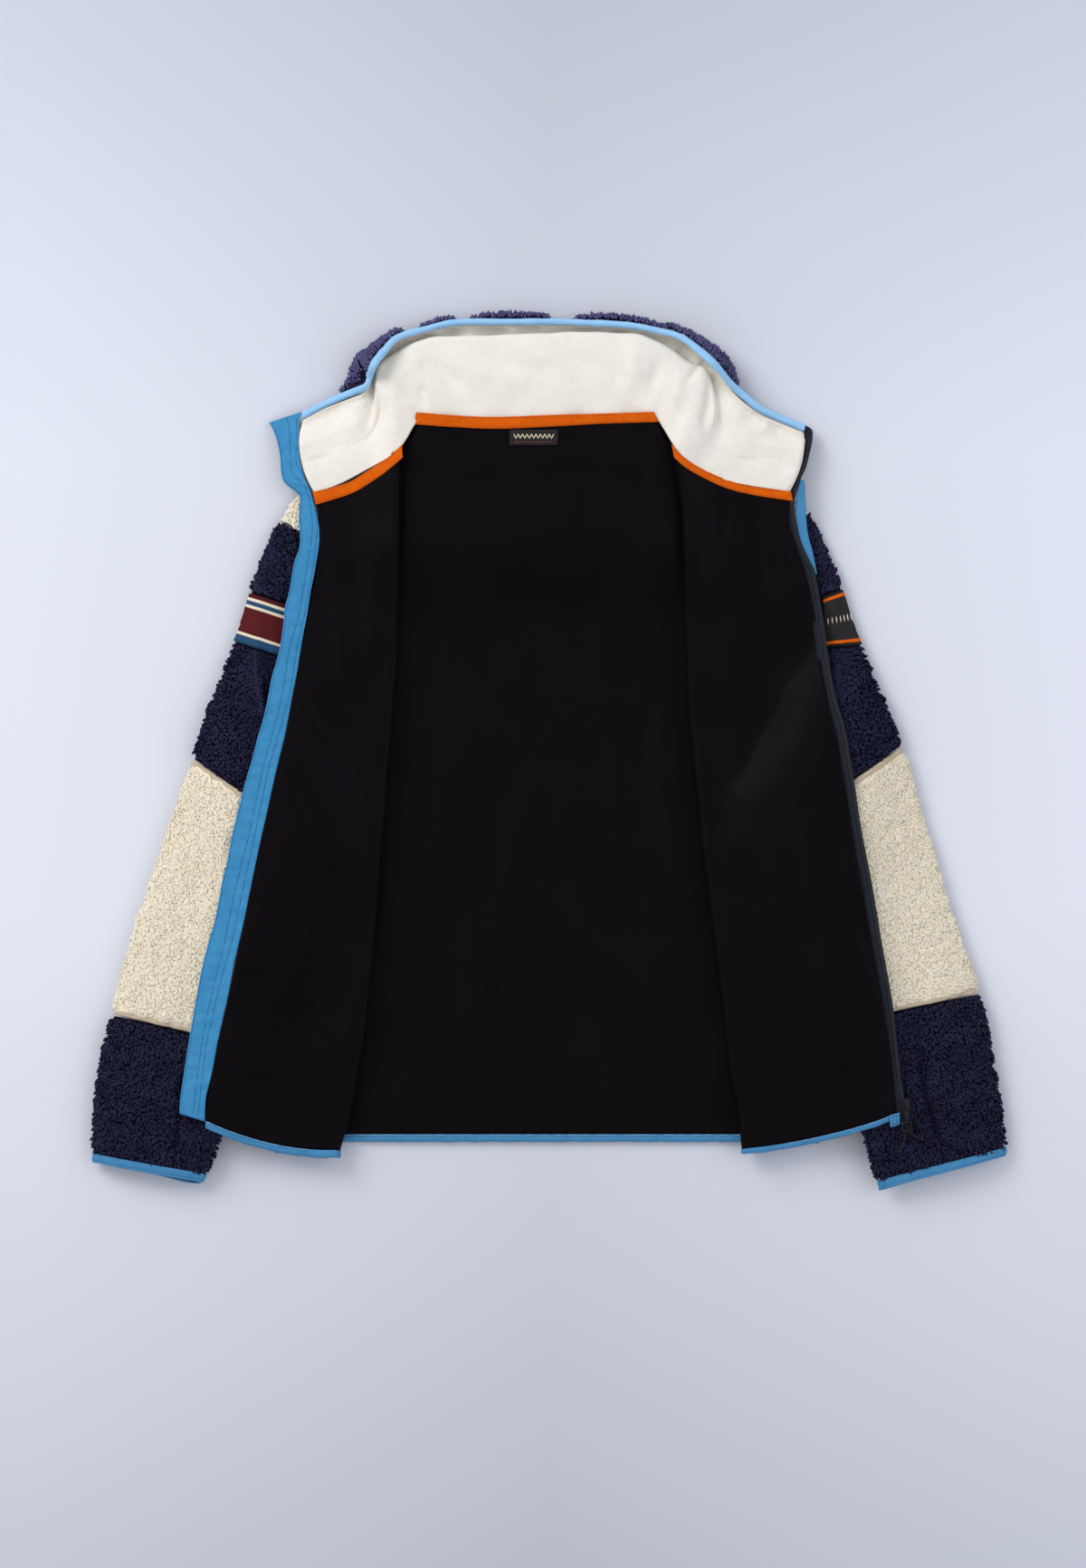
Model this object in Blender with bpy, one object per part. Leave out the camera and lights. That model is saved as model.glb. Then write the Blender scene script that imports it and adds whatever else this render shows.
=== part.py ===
"""Hooded fleece jacket, lying on its back with both fronts folded open over the sleeves.

Lengths in the tables are millimetres: x to the picture's right, y up the picture, z up
from the surface the jacket lies on.  "right" and "left" are the wearer's sides, so the
right front is on the picture's left.
"""
import bpy
import math
import numpy as np
from mathutils import Vector
from mathutils.bvhtree import BVHTree

for old in list(bpy.data.objects):
    bpy.data.objects.remove(old, do_unlink=True)

MM = 0.001
GAP = 0.3                     # between pieces at a seam

# ---- cloth thicknesses -------------------------------------------------------------
SHERPA = 4.0                  # pile fabric of body, sleeves and hood
LINING = 1.0                  # smooth body lining
FLEECE = 1.5                  # smooth hood lining
BODY_PLY = SHERPA + GAP + LINING

# ---- heights of the layers (reference = inner face of the pile fabric) ----------------
Z_BACK = SHERPA               # back panel on the surface
Z_FRONT = 10.0                # front panel from side seam to fold
Z_SEAM = BODY_PLY + GAP + LINING + GAP
FOLD_RADIUS = 5.5             # reference radius of the roll at the fold
Z_FLAP = Z_FRONT + 2 * FOLD_RADIUS
SLEEVE_LIFT = 15.2            # underside of the sleeve where it lies over the body
POUCH_LIFT = 18.5             # how far the hood pouch lifts the upper back


def smooth(t):
    t = np.clip(t, 0.0, 1.0)
    return t * t * (3 - 2 * t)


def along(rows, t):
    """Catmull-Rom through the rows of a table, t from 0 to 1."""
    a = np.array(rows, float)
    n = len(a) - 1
    f = min(max(t, 0.0), 1.0) * n
    i = min(int(f), n - 1)
    f -= i
    p1, p2 = a[i], a[i + 1]
    p0 = a[i - 1] if i else 2 * p1 - p2
    p3 = a[i + 2] if i + 2 <= n else 2 * p2 - p1
    return 0.5 * (2 * p1 + (p2 - p0) * f + (2 * p0 - 5 * p1 + 4 * p2 - p3) * f * f
                  + (3 * p1 - p0 - 3 * p2 + p3) * f ** 3)


def unit(v):
    v = np.asarray(v, float)
    return v / max(np.linalg.norm(v), 1e-9)


# ---- meshes -------------------------------------------------------------------------
collection = bpy.data.collections.new("Hooded fleece jacket")
bpy.context.scene.collection.children.link(collection)


def add_mesh(name, verts, faces, colour, rough=0.9):
    mesh = bpy.data.meshes.new(name)
    verts = np.asarray(verts, float)
    volume = 0.0
    for f in faces:
        for k in range(1, len(f) - 1):
            volume += float(np.dot(verts[f[0]], np.cross(verts[f[k]], verts[f[k + 1]])))
    if volume < 0:
        faces = [tuple(reversed(f)) for f in faces]
    mesh.from_pydata([tuple(v * MM) for v in verts], [], faces)
    mesh.update()
    obj = bpy.data.objects.new(name, mesh)
    collection.objects.link(obj)
    mat = bpy.data.materials.new(name)
    mat.use_nodes = True
    bsdf = mat.node_tree.nodes["Principled BSDF"]
    bsdf.inputs["Base Color"].default_value = (*colour, 1)
    bsdf.inputs["Roughness"].default_value = rough
    mat.diffuse_color = (*colour, 1)
    mesh.materials.append(mat)
    return obj


def slab(name, top, bottom, colour, rough=0.9):
    """Closed sheet between two grids of the same size."""
    top, bottom = np.asarray(top), np.asarray(bottom)
    n, m = top.shape[:2]
    verts = list(top.reshape(-1, 3)) + list(bottom.reshape(-1, 3))
    o = n * m
    faces = []
    for i in range(n - 1):
        for j in range(m - 1):
            a, b, c, d = i * m + j, i * m + j + 1, (i + 1) * m + j + 1, (i + 1) * m + j
            faces += [(a, b, c), (a, c, d), (o + c, o + b, o + a), (o + d, o + c, o + a)]
    edge = ([j for j in range(m)] + [i * m + m - 1 for i in range(1, n)]
            + [(n - 1) * m + j for j in range(m - 2, -1, -1)] + [i * m for i in range(n - 2, 0, -1)])
    for k, a in enumerate(edge):
        b = edge[(k + 1) % len(edge)]
        faces += [(b, a, o + a), (b, o + a, o + b)]
    return add_mesh(name, verts, faces, colour, rough)


def tube(name, outer, inner, colour, rough=0.9):
    """Open tube: a loft of outer rings joined at both ends to a loft of inner rings."""
    outer, inner = np.asarray(outer), np.asarray(inner)
    n, m = outer.shape[:2]
    verts = list(outer.reshape(-1, 3)) + list(inner.reshape(-1, 3))
    o = n * m
    faces = []
    for i in range(n - 1):
        for j in range(m):
            k = (j + 1) % m
            a, b, c, d = i * m + j, i * m + k, (i + 1) * m + k, (i + 1) * m + j
            faces += [(a, b, c), (a, c, d), (o + c, o + b, o + a), (o + d, o + c, o + a)]
    for i, flip in ((0, False), (n - 1, True)):
        for j in range(m):
            k = (j + 1) % m
            a, b, c, d = i * m + k, i * m + j, o + i * m + j, o + i * m + k
            for f in ((a, b, c), (a, c, d)):
                faces.append(tuple(reversed(f)) if flip else f)
    return add_mesh(name, verts, faces, colour, rough)


def normals(grid, sign=1.0):
    """Offset directions of a grid, lengthened at bends so that walls keep their thickness."""
    g = np.asarray(grid, float)

    def tangents(a):
        d = np.diff(a, axis=1)
        d /= np.maximum(np.linalg.norm(d, axis=2, keepdims=True), 1e-9)
        first = np.concatenate([d[:, :1], d], axis=1)
        last = np.concatenate([d, d[:, -1:]], axis=1)
        t = first + last
        size = np.linalg.norm(t, axis=2, keepdims=True)
        return t / np.maximum(size, 1e-9), np.clip(size / 2, 0.72, 1.0)

    tj, bend = tangents(g)
    ti, _ = tangents(np.swapaxes(g, 0, 1))
    ti = np.swapaxes(ti, 0, 1)
    n = np.cross(tj, ti)
    n /= np.maximum(np.linalg.norm(n, axis=2, keepdims=True), 1e-9)
    return sign * n / bend


# ---- colours (linear) -----------------------------------------------------------------
NAVY = (0.0075, 0.008, 0.020)
CREAM = (0.70, 0.64, 0.53)
HOOD_CREAM = (0.80, 0.78, 0.74)
BLACK = (0.006, 0.0055, 0.0065)
ORANGE = (0.62, 0.13, 0.012)
BLUE = (0.045, 0.22, 0.42)
PALE_BLUE = (0.22, 0.46, 0.70)
DARK = (0.008, 0.010, 0.020)
MAROON = (0.13, 0.02, 0.035)

# ---- armhole lines: from the underarm to the shoulder tip -----------------------------
ARM_T = (0.0, 0.12, 0.30, 0.50, 0.70, 0.88, 1.0)
ARMHOLE = {
    "right": [(-281, 6), (-268, 34), (-253, 74), (-241, 120), (-234, 166), (-237, 205), (-259, 219)],
    "left": [(273, 6), (262, 34), (249, 74), (239, 120), (232, 166), (233, 206), (247, 226)],
}

# ---- body sleeves: rings from the armhole to the cuff ---------------------------------
# columns: inner x, inner y, outer x, outer y, height, share of the lift over the body
SLEEVE = {
    "right": [
        (-281, 6, -259, 219, 11.0, 0.0), (-284, -12, -267, 198, 13.0, 0.7),
        (-277, -28, -280, 168, 14.5, 1.0), (-250, -42, -295, 122, 15.5, 1.0),
        (-217, -54, -313, 74, 16.0, 1.0), (-203, -76, -329, 33, 16.5, 1.0),
        (-204, -99, -342, -8, 17.0, 1.0), (-212, -124, -360, -60, 17.5, 1.0),
        (-227, -158, -378, -112, 18.0, 1.0), (-251, -212, -398, -172, 19.0, 1.0),
        (-279, -286, -420, -253, 20.0, 1.0), (-304, -347, -433, -317, 20.0, 1.0),
        (-327, -406, -438, -386, 18.0, 1.0), (-330, -414.5, -436, -395, 17.0, 1.0),
    ],
    "left": [
        (273, 6, 247, 226, 11.0, 0.0), (278, -12, 259, 202, 13.0, 0.7),
        (272, -28, 274, 170, 14.5, 1.0), (246, -42, 291, 120, 15.5, 1.0),
        (214, -54, 308, 78, 16.0, 1.0), (198, -70, 324, 40, 16.5, 1.0),
        (197, -92, 339, 5, 17.0, 1.0), (207, -118, 355, -53, 17.5, 1.0),
        (221, -150, 372, -112, 18.0, 1.0), (243, -207, 391, -172, 19.0, 1.0),
        (268, -264, 412, -233, 20.0, 1.0), (292, -343, 427, -307, 20.0, 1.0),
        (313, -412, 438, -380, 18.0, 1.0), (318, -421, 436, -389, 17.0, 1.0),
    ],
}
RING_SEAM_UPPER, RING_SEAM_LOWER, RING_CUFF, RING_END = 6, 10, 12, 13
SIDE_X = {"right": -274.0, "left": 268.0}
# half height of the flattened ring at the seven stations across it
RING_HALF = (0.0, 0.80, 1.0, 1.0, 1.0, 0.80, 0.0)
RING_OUT = (1.0, 0.45, 0.0, 0.0, 0.0, 0.45, 1.0)    # how far the wall faces sideways


def armhole_x(side, y):
    a = np.array(ARMHOLE[side], float)
    if y <= a[0, 1]:
        return SIDE_X[side] if y < a[0, 1] - 10 else a[0, 0] + (SIDE_X[side] - a[0, 0]) * (a[0, 1] - y) / 10
    return float(np.interp(y, a[:, 1], a[:, 0]))


def sleeve_lift(side, x, y, share):
    """Height of the sleeve's underside: it climbs over the side seam of the body."""
    depth = (x - armhole_x(side, y)) * (1 if side == "right" else -1)
    return share * SLEEVE_LIFT * float(smooth((depth + 72) / 48) * smooth((88 - y) / 58))


def sleeve_ring(side, ring, shrink=0.0, swell=0.0):
    """Twelve points: across the bottom, round the outer edge and back over the top."""
    ix, iy, ox, oy, height, share = SLEEVE[side][ring] if isinstance(ring, int) else ring
    inner, outer = np.array([ix, iy], float), np.array([ox, oy], float)
    across = unit(outer - inner)
    pts = []
    for top in (False, True):
        stations = range(7) if not top else range(5, 0, -1)
        for k in stations:
            if ring == 0:
                plan = np.array(ARMHOLE[side][k], float)
                inward = np.array([-1.0, 0.0]) if side == "right" else np.array([1.0, 0.0])
                plan = plan + inward * 0.5
            else:
                plan = inner + (outer - inner) * ARM_T[k]
            side_share = RING_OUT[k] * (-1 if k < 3 else 1)
            lift = sleeve_lift(side, plan[0], plan[1], share) + swell
            plan = plan - across * side_share * (shrink - swell)
            half = height / 2 * RING_HALF[k]
            crown = 3.5 * (1 - (2 * ARM_T[k] - 1) ** 2) if top and ring != 0 else 0.0
            up = 1 if top else -1
            if RING_HALF[k] == 0:
                z = lift + height / 2
            else:
                z = lift + height / 2 + up * (half - (shrink - swell) * math.sqrt(1 - RING_OUT[k] ** 2)) + crown
            pts.append((plan[0], plan[1], z))
    return pts


def between_rings(side, a, b, f):
    pa, pb = np.array(SLEEVE[side][a], float), np.array(SLEEVE[side][b], float)
    return tuple(pa + (pb - pa) * f)


def sleeve_rings(side, first, last):
    """Ring rows of one sleeve piece, drawn in by half the seam gap at each end."""
    rows = list(range(first, last + 1))
    if first > 0:
        rows[0] = between_rings(side, first, first + 1, 0.006)
    if last < RING_END:
        rows[-1] = between_rings(side, last, last - 1, 0.006)
    return rows


SLEEVE_SOLID = {}
for side in ("right", "left"):
    verts, faces = [], []
    rings = [sleeve_ring(side, r) for r in range(RING_END + 1)]
    for r in rings:
        verts += [Vector(p) for p in r]
    for i in range(RING_END):
        for j in range(12):
            k = (j + 1) % 12
            faces.append((i * 12 + j, i * 12 + k, (i + 1) * 12 + k, (i + 1) * 12 + j))
    SLEEVE_SOLID[side] = BVHTree.FromPolygons(verts, faces)

    for part, first, last, colour in (("upper", 0, RING_SEAM_UPPER, NAVY),
                                      ("mid", RING_SEAM_UPPER, RING_SEAM_LOWER, CREAM),
                                      ("lower", RING_SEAM_LOWER, RING_CUFF, NAVY)):
        rows = sleeve_rings(side, first, last)
        tube(f"sleeve_{side}_{part}", [sleeve_ring(side, r) for r in rows],
             [sleeve_ring(side, r, SHERPA) for r in rows], colour)
    rows = sleeve_rings(side, RING_CUFF, RING_END)
    tube(f"cuff_binding_{side}", [sleeve_ring(side, r, 0.0, 0.3) for r in rows],
         [sleeve_ring(side, r, SHERPA + 0.3) for r in rows], BLUE, 0.7)

# ---- the envelope that the fronts drape over ----------------------------------------------
ENVELOPE = {}
for side in ("right", "left"):
    cloud = []
    for i in range(RING_END):
        for f in (0.0, 0.2, 0.4, 0.6, 0.8):
            a, b = np.array(sleeve_ring(side, i)), np.array(sleeve_ring(side, i + 1))
            row = a + (b - a) * f
            for j in range(6, 12):
                p, q = row[j], row[(j + 1) % 12]
                for g in (0.0, 0.2, 0.4, 0.6, 0.8):
                    cloud.append(p + (q - p) * g)
    ENVELOPE[side] = np.array(cloud)


def pouch_lift(x, y):
    """The hood pouch under the upper back lifts everything above it."""
    wide = 1 - smooth((abs(x + 12) - 112) / 75)
    return POUCH_LIFT * float(wide * smooth((y - 118) / 88))


def front_z(side, x, y, from_seam):
    """Front panel between side seam and fold: down at the seam, loose inside."""
    return Z_SEAM + (Z_FRONT - Z_SEAM) * float(smooth(from_seam / 30)) + pouch_lift(x, y)


def flap_z(side, x, y):
    """Opened flap: over the front below it and draped over the sleeve."""
    base = Z_FLAP + pouch_lift(x, y)
    c = ENVELOPE[side]
    d2 = (c[:, 0] - x) ** 2 + (c[:, 1] - y) ** 2
    over = float(np.max(c[:, 2] - 0.009 * d2)) + SHERPA + 2.4
    d = over - base
    return 0.5 * (base + over + math.sqrt(d * d + 9))


# ---- front panels ---------------------------------------------------------------------------
# columns: side seam or armhole x, y | fold x, y | centre front edge x, y | outer edge of tape x, y
FRONT = {
    "right": [
        (-264, -379, -198, -384, -328, -354, -353, -346),
        (-266, -296, -179, -295, -319, -296, -346, -296),
        (-269, -209, -169, -214, -301, -214, -331, -213),
        (-273, -105, -160, -105, -279, -105, -307, -104),
        (-275, -62, -156, -60, -269, -60, -297, -59),
        (-277, -26, -153, -19, -260, -19, -287, -18),
        (-281, 6, -150, 12, -252, 12, -279, 12),
        (-268, 34, -148, 44, -246, 44, -271.5, 44),
        (-253, 74, -145, 84, -239, 84, -261.5, 84),
        (-241, 120, -144, 128, -230, 128, -254, 128),
        (-234, 166, -143, 178, -222, 172, -245.5, 172),
        (-237, 205, -142, 235, -219, 212, -239, 209),
        (-236, 208, -142, 285.5, -225, 244, -239, 236),
    ],
    "left": [
        (258, -371, 186, -382, 331, -347, 341, -353),
        (260, -296, 171, -296, 326, -293, 335, -293),
        (263, -209, 161, -209, 312, -209, 321, -209),
        (266, -105, 147, -105, 293, -105, 302, -105),
        (268, -62, 142, -60, 286, -60, 294.5, -60),
        (269, -26, 138, -19, 279, -19, 287, -19),
        (273, 6, 135, 12, 274, 12, 282, 12),
        (262, 34, 132, 44, 266, 44, 274, 44),
        (249, 74, 130, 84, 259, 84, 267, 84),
        (239, 120, 129, 128, 253.5, 128, 261.5, 128),
        (232, 166, 128, 178, 244, 172, 252.5, 172),
        (233, 206, 126, 235, 230.5, 212, 238, 210),
        (233, 209, 118, 283.5, 228.5, 245, 235, 239),
    ],
}
HEM_SAG = {"right": -8.0, "left": -5.0}
HEM_WIDTH = 7.6
# the neck seam on each opened front, from the fold to the centre front: x, y
NECK_LINE = {
    "right": [(-224.5, 244.4), (-199, 253.2), (-180, 262.8), (-162, 273.7), (-151.5, 282.3), (-142, 288.5)],
    "left": [(118, 284.5), (124, 275.5), (141, 265.5), (167, 256.8), (198, 250.0), (229, 245.3)],
}


def neck_y(side, x):
    line = np.array(NECK_LINE[side], float)
    return float(np.interp(x, line[:, 0], line[:, 1]))


FRONT_U = (0.0, 0.10, 0.28, 0.52, 0.78, 1.0)             # side seam to fold
ROLL_A = (-67.5, -22.5, 22.5, 67.5)                       # degrees round the fold
FLAP_U = (0.0, 0.15, 0.30, 0.45, 0.59, 0.73, 0.87, 1.0)         # fold to centre front


def front_row(side, row, hem=0.0, edge=0.0):
    """One section of a front: side seam, fold roll, flap.  hem > 0 moves it past the hem."""
    sx, sy, fx, fy, ex, ey, px, py = row
    s, f, e = np.array([sx, sy]), np.array([fx, fy]), np.array([ex, ey])
    out = unit(unit(f - s) + unit(f - e))
    centre = f - out * (FOLD_RADIUS + GAP + LINING)
    lean = 1.0 if hem is None else 0.0
    pts = []
    inward = (1.6 if -30 < sy < 60 else 0.5) * (1 if side == "right" else -1)
    start = s + np.array([inward, 0.0])
    for u in FRONT_U:
        p = start + (centre - start) * u
        pts.append((p[0], p[1], front_z(side, p[0], p[1], np.linalg.norm(p - s))))
    low = pts[-1][2]
    high = flap_z(side, centre[0], centre[1])
    mid, radius = (low + high) / 2, (high - low) / 2
    for a in ROLL_A:
        c, d = math.cos(math.radians(a)), math.sin(math.radians(a))
        p = centre + out * FOLD_RADIUS * c
        pts.append((p[0], p[1], mid + radius * d))
    for u in FLAP_U:
        p = centre + (e - centre) * u
        pts.append((p[0], p[1], flap_z(side, p[0], p[1])))
    return pts


def hem_shift(side, grid, row, extra):
    """Lower the first row along the sagging hem of the flap."""
    out = [list(p) for p in grid]
    start = len(FRONT_U) + len(ROLL_A)
    for k, u in enumerate(FLAP_U):
        out[start + k][1] += HEM_SAG[side] * 4 * u * (1 - u)
    for p in out:
        p[1] -= extra
    return out


for side in ("right", "left"):
    rows = FRONT[side]
    sign = 1.0 if side == "right" else -1.0
    grid = [front_row(side, r) for r in rows]
    grid[0] = hem_shift(side, grid[0], rows[0], 0.0)
    grid = np.array(grid)
    roll = len(FRONT_U)
    for k in range(roll + 1, grid.shape[1]):
        level = neck_y(side, grid[-1, k, 0])
        grid[-1, k, 1] = level if k >= roll + len(ROLL_A) else min(grid[-1, k, 1], level - 3.2)
    n = normals(grid, sign)
    n[:, 0] = (0, 0, 1)
    n[:, -1] = (0, 0, -1)
    n[0, :roll] = (0, 0, 1)
    n[0, roll + len(ROLL_A):] = (0, 0, -1)
    n[-1, roll + len(ROLL_A):] = (0, 0, -1)
    slab(f"front_{side}_shell", grid + n * SHERPA, grid, NAVY)
    seen = grid[:, roll - 2:], n[:, roll - 2:]
    slab(f"front_{side}_lining", seen[0] - seen[1] * GAP, seen[0] - seen[1] * (GAP + LINING), BLACK, 0.6)

    # hem binding: the same section carried on below the hem
    first = hem_shift(side, front_row(side, rows[0]), rows[0], GAP)
    last = hem_shift(side, front_row(side, rows[0]), rows[0], HEM_WIDTH)
    hem = np.array([last, first])
    hn = np.stack([n[0], n[0]])
    slab(f"hem_binding_{side}", hem + hn * SHERPA, hem - hn * (GAP + LINING), BLUE, 0.7)

# ---- yokes: the cream strip from the sleeve head along each shoulder ---------------------------
# columns: lower x, y | upper x, y
YOKE = {
    "right": [(-236.5, 209.5, -257.0, 220.5), (-226, 219, -243, 241), (-212, 230, -226, 254),
              (-192, 247, -202, 268), (-172, 264, -178, 280.2), (-154, 279.5, -156, 290.5)],
    "left": [(233.5, 210.5, 245.5, 226.0), (222, 219, 236, 242), (206, 229, 219, 256),
             (182, 245.5, 190, 270), (158, 261, 163, 281), (132, 278, 134, 292)],
}
for side in ("right", "left"):
    grid = []
    for lx, ly, ux, uy in YOKE[side]:
        row = []
        for f in (0.0, 0.5, 1.0):
            x, y = lx + (ux - lx) * f, ly + (uy - ly) * f
            row.append((x, y, Z_SEAM + 0.3 + (Z_FRONT - Z_SEAM) * (1 - f) * 0.6 + pouch_lift(x, y)))
        grid.append(row)
    grid = np.array(grid)
    slab(f"yoke_{side}", grid + np.array([0, 0, SHERPA]), grid, CREAM)

# ---- back panel ----------------------------------------------------------------------------------
# top edge from shoulder tip to shoulder tip: x, y
BACK_TOP = [(-257.5, 220.8), (-243, 240), (-214, 260), (-182, 277), (-152, 291.5),
            (-141, 296.5), (-134.2, 306), (-126, 315.2), (-110, 317.3), (-82, 316.3), (-38, 314.3), (0, 314.3),
            (37, 317.3), (72, 318.3), (92.5, 319.2), (102.5, 315), (108.7, 306), (114, 296), (134, 291),
            (165, 279.5), (200, 265), (233, 244), (245.7, 226.9)]
# side rows from hem to shoulder tip: right x, y | left x, y
BACK_SIDE = [(-264, -379, 258, -371), (-268, -240, 262, -240),
             (-273, -105, 266, -105), (-277, -26, 269, -26), (-281, 6, 273, 6), (-268, 34, 262, 34),
             (-253, 74, 249, 74), (-241, 120, 239, 120), (-234, 166, 232, 166), (-236.3, 206.5, 232.4, 207.3),
             (-257.5, 220.8, 245.7, 226.9)]
HEM_Y_MID = -369.5


def back_grid():
    top = np.array(BACK_TOP, float)
    grid = []
    for k, (rx, ry, lx, ly) in enumerate(BACK_SIDE):
        g = min((ry + 379) / 598.0, 1.0)
        if k == len(BACK_SIDE) - 1:
            g = 1.0
        w = float(smooth((g - 0.72) / 0.28))
        row = []
        for c in range(len(top)):
            u = c / (len(top) - 1)
            even = rx + (lx - rx) * u
            spread = rx + (top[c, 0] - top[0, 0]) * (lx - rx) / (top[-1, 0] - top[0, 0])
            x = even + (spread - even) * w
            side_y = ry + (ly - ry) * u
            centre = HEM_Y_MID + (top[c, 1] - HEM_Y_MID) * g
            hollow = min(u, 1 - u) / 0.14
            y = side_y + (centre - side_y) * float(smooth(hollow))
            if k == len(BACK_SIDE) - 1:
                y = top[c, 1]
            if c == 0:
                x = rx + 0.5
            if c == len(top) - 1:
                x = lx - 0.5
            row.append((x, y, Z_BACK + pouch_lift(x, y)))
        grid.append(row)
    return np.array(grid)


BACK = back_grid()
UP = np.array([0, 0, 1.0])
slab("back_shell", BACK, BACK - UP * SHERPA, NAVY)
slab("back_lining", BACK + UP * (GAP + LINING), BACK + UP * GAP, BLACK, 0.6)
hem = np.array([BACK[0] - np.array([0, 8.8, 0]), BACK[0] - np.array([0, GAP, 0])])
slab("hem_binding_back", hem + UP * (GAP + LINING), hem - UP * SHERPA, BLUE, 0.7)

# ---- hood -------------------------------------------------------------------------------------------
CREST_R, POUCH_R = 6.0, 4.3
# columns: neck x, y, z (0: on the flap) | rim x, y | band length | crest turn in degrees |
#          pouch depth | height of the lower ply | rim radius | rim turn in degrees
HOOD = [
    (-224.5, 245.8, 0, -237, 321, 28, 0, 3, 11, 12, 0),
    (-202, 253.6, 0, -214, 332, 28, 0, 3, 12, 12, 0),
    (-175, 267.3, 0, -192, 343, 26, 0, 3, 16, 12, 6),
    (-161, 276.2, 0, -182, 350, 26, 20, 3, 16, 12, 32),
    (-151, 284.6, 0, -175, 356, 36, 60, 3, 13, 13, 74),
    (-144.5, 292.5, 33, -171, 364, 46, 105, 4, 8, 16, 112),
    (-138.5, 299.0, 28, -166, 374, 55, 145, 7, 5, 19, 140),
    (-133.4, 309.3, 25.5, -158, 385, 61, 180, 24, 4, 20, 150),
    (-124.7, 316.8, 22.5, -144, 398, 65, 180, 64, 4, 19, 148),
    (-110, 318.2, 22.5, -118, 409, 70, 180, 112, 4, 16, 136),
    (-82, 317.2, 22.5, -89, 412.5, 71.5, 180, 145, 4, 13, 106),
    (-38, 315.2, 22.5, -38, 413.5, 74, 180, 158, 4, 12, 92),
    (0, 315.2, 22.5, 0, 413.5, 74, 180, 158, 4, 12, 92),
    (37, 318.2, 22.5, 37, 412.5, 71.5, 180, 150, 4, 12, 96),
    (72, 319.2, 22.5, 76, 411, 70.5, 180, 122, 4, 13, 110),
    (92.7, 320.2, 22.5, 104, 403.5, 66, 180, 82, 4, 15, 132),
    (103.4, 315.9, 22.5, 125, 393, 62, 180, 46, 4, 16, 140),
    (109.8, 306.6, 24.5, 141, 380, 60, 180, 20, 4, 17, 146),
    (115.6, 296.4, 28, 153, 369, 56, 150, 8, 5, 17, 138),
    (121.0, 286.6, 34.5, 162, 360, 48, 110, 4, 8, 15, 112),
    (127.5, 275.0, 0, 171, 352, 38, 64, 3, 13, 13, 72),
    (141, 266.8, 0, 182, 343, 28, 22, 3, 17, 12, 30),
    (160, 260.4, 0, 202, 328, 24, 0, 3, 17, 12, 6),
    (187, 253.6, 0, 222, 318, 24, 0, 3, 13, 12, 0),
    (229.5, 246.6, 0, 245, 309, 24, 0, 3, 12, 12, 0),
]

# sideways bow of the end sections of the collar: wearer's left side?, neck x, bow
COLLAR_BOW = {(False, 224): -8.0, (False, 202): -5.0, (False, 175): -2.0,
              (True, 230): 5.0, (True, 187): 3.0, (True, 160): 1.0}


def turtle(start, steps):
    r, z = start
    pts = [(r, z)]
    for length, heading in steps:
        r += length * math.cos(heading)
        z += length * math.sin(heading)
        pts.append((r, z))
    return pts


def hood_section(side, row, extra=0.0):
    """Profile from the neck seam over the crest, round the pouch and up to the rim."""
    nx, ny, nz, rx, ry, band, turn, depth, low, rim_r, rim_turn = row
    n, r = np.array([nx, ny]), np.array([rx, ry])
    d = unit(r - n)
    reach = np.linalg.norm(r - n) - 1.1 - 3.2 * max(math.cos(math.radians(rim_turn)), 0.0)
    z0 = nz if nz else flap_z(side, nx, ny - 1.0)
    bow = COLLAR_BOW.get((nx > 0, round(abs(nx))), 0.0)
    a, g = math.radians(turn), math.radians(rim_turn)
    crest = [(max(CREST_R * a / 3, 2.5), -a * k / 6) for k in (1, 3, 5)]
    upper = [(max(depth, 3.0), -a)]
    bottom = [(max(POUCH_R * a / 3, 2.5), -a * k / 6) for k in (5, 3, 1)]
    mid = crest + upper + bottom
    drop = -sum(s[0] * math.sin(s[1]) for s in mid)
    ahead = sum(s[0] * math.cos(s[1]) for s in mid)
    rim = [(max(rim_r * g / 3, 2.5), g * k / 6) for k in (1, 3, 5)]
    rim_ahead = sum(s[0] * math.cos(s[1]) for s in rim)
    z_band = max(low + drop, 0) if turn > 0 else (z0 + low) / 2 + 2
    run = max(reach - band - ahead - rim_ahead, 3.0)
    rise = z_band - z0
    half = band / 2
    swell = 3.0 if turn >= 180 else 1.0
    first = (math.hypot(half, rise / 2 + swell), math.atan2(rise / 2 + swell, half))
    second = (math.hypot(half, rise / 2 - swell), math.atan2(rise / 2 - swell, half))
    z_now = z_band - drop
    slope = math.atan2(low - z_now, run)
    steps = [first, second] + mid + [(math.hypot(run, low - z_now), slope)] + rim
    if extra:
        steps = steps + [(extra, g)]
    pts = turtle((0.0, z0), steps)
    out = []
    for q in pts:
        f = min(q[0] / reach, 1.0)
        out.append((n[0] + d[0] * q[0] + bow * 4 * f * (1 - f), n[1] + d[1] * q[0], q[1]))
    return out


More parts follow.
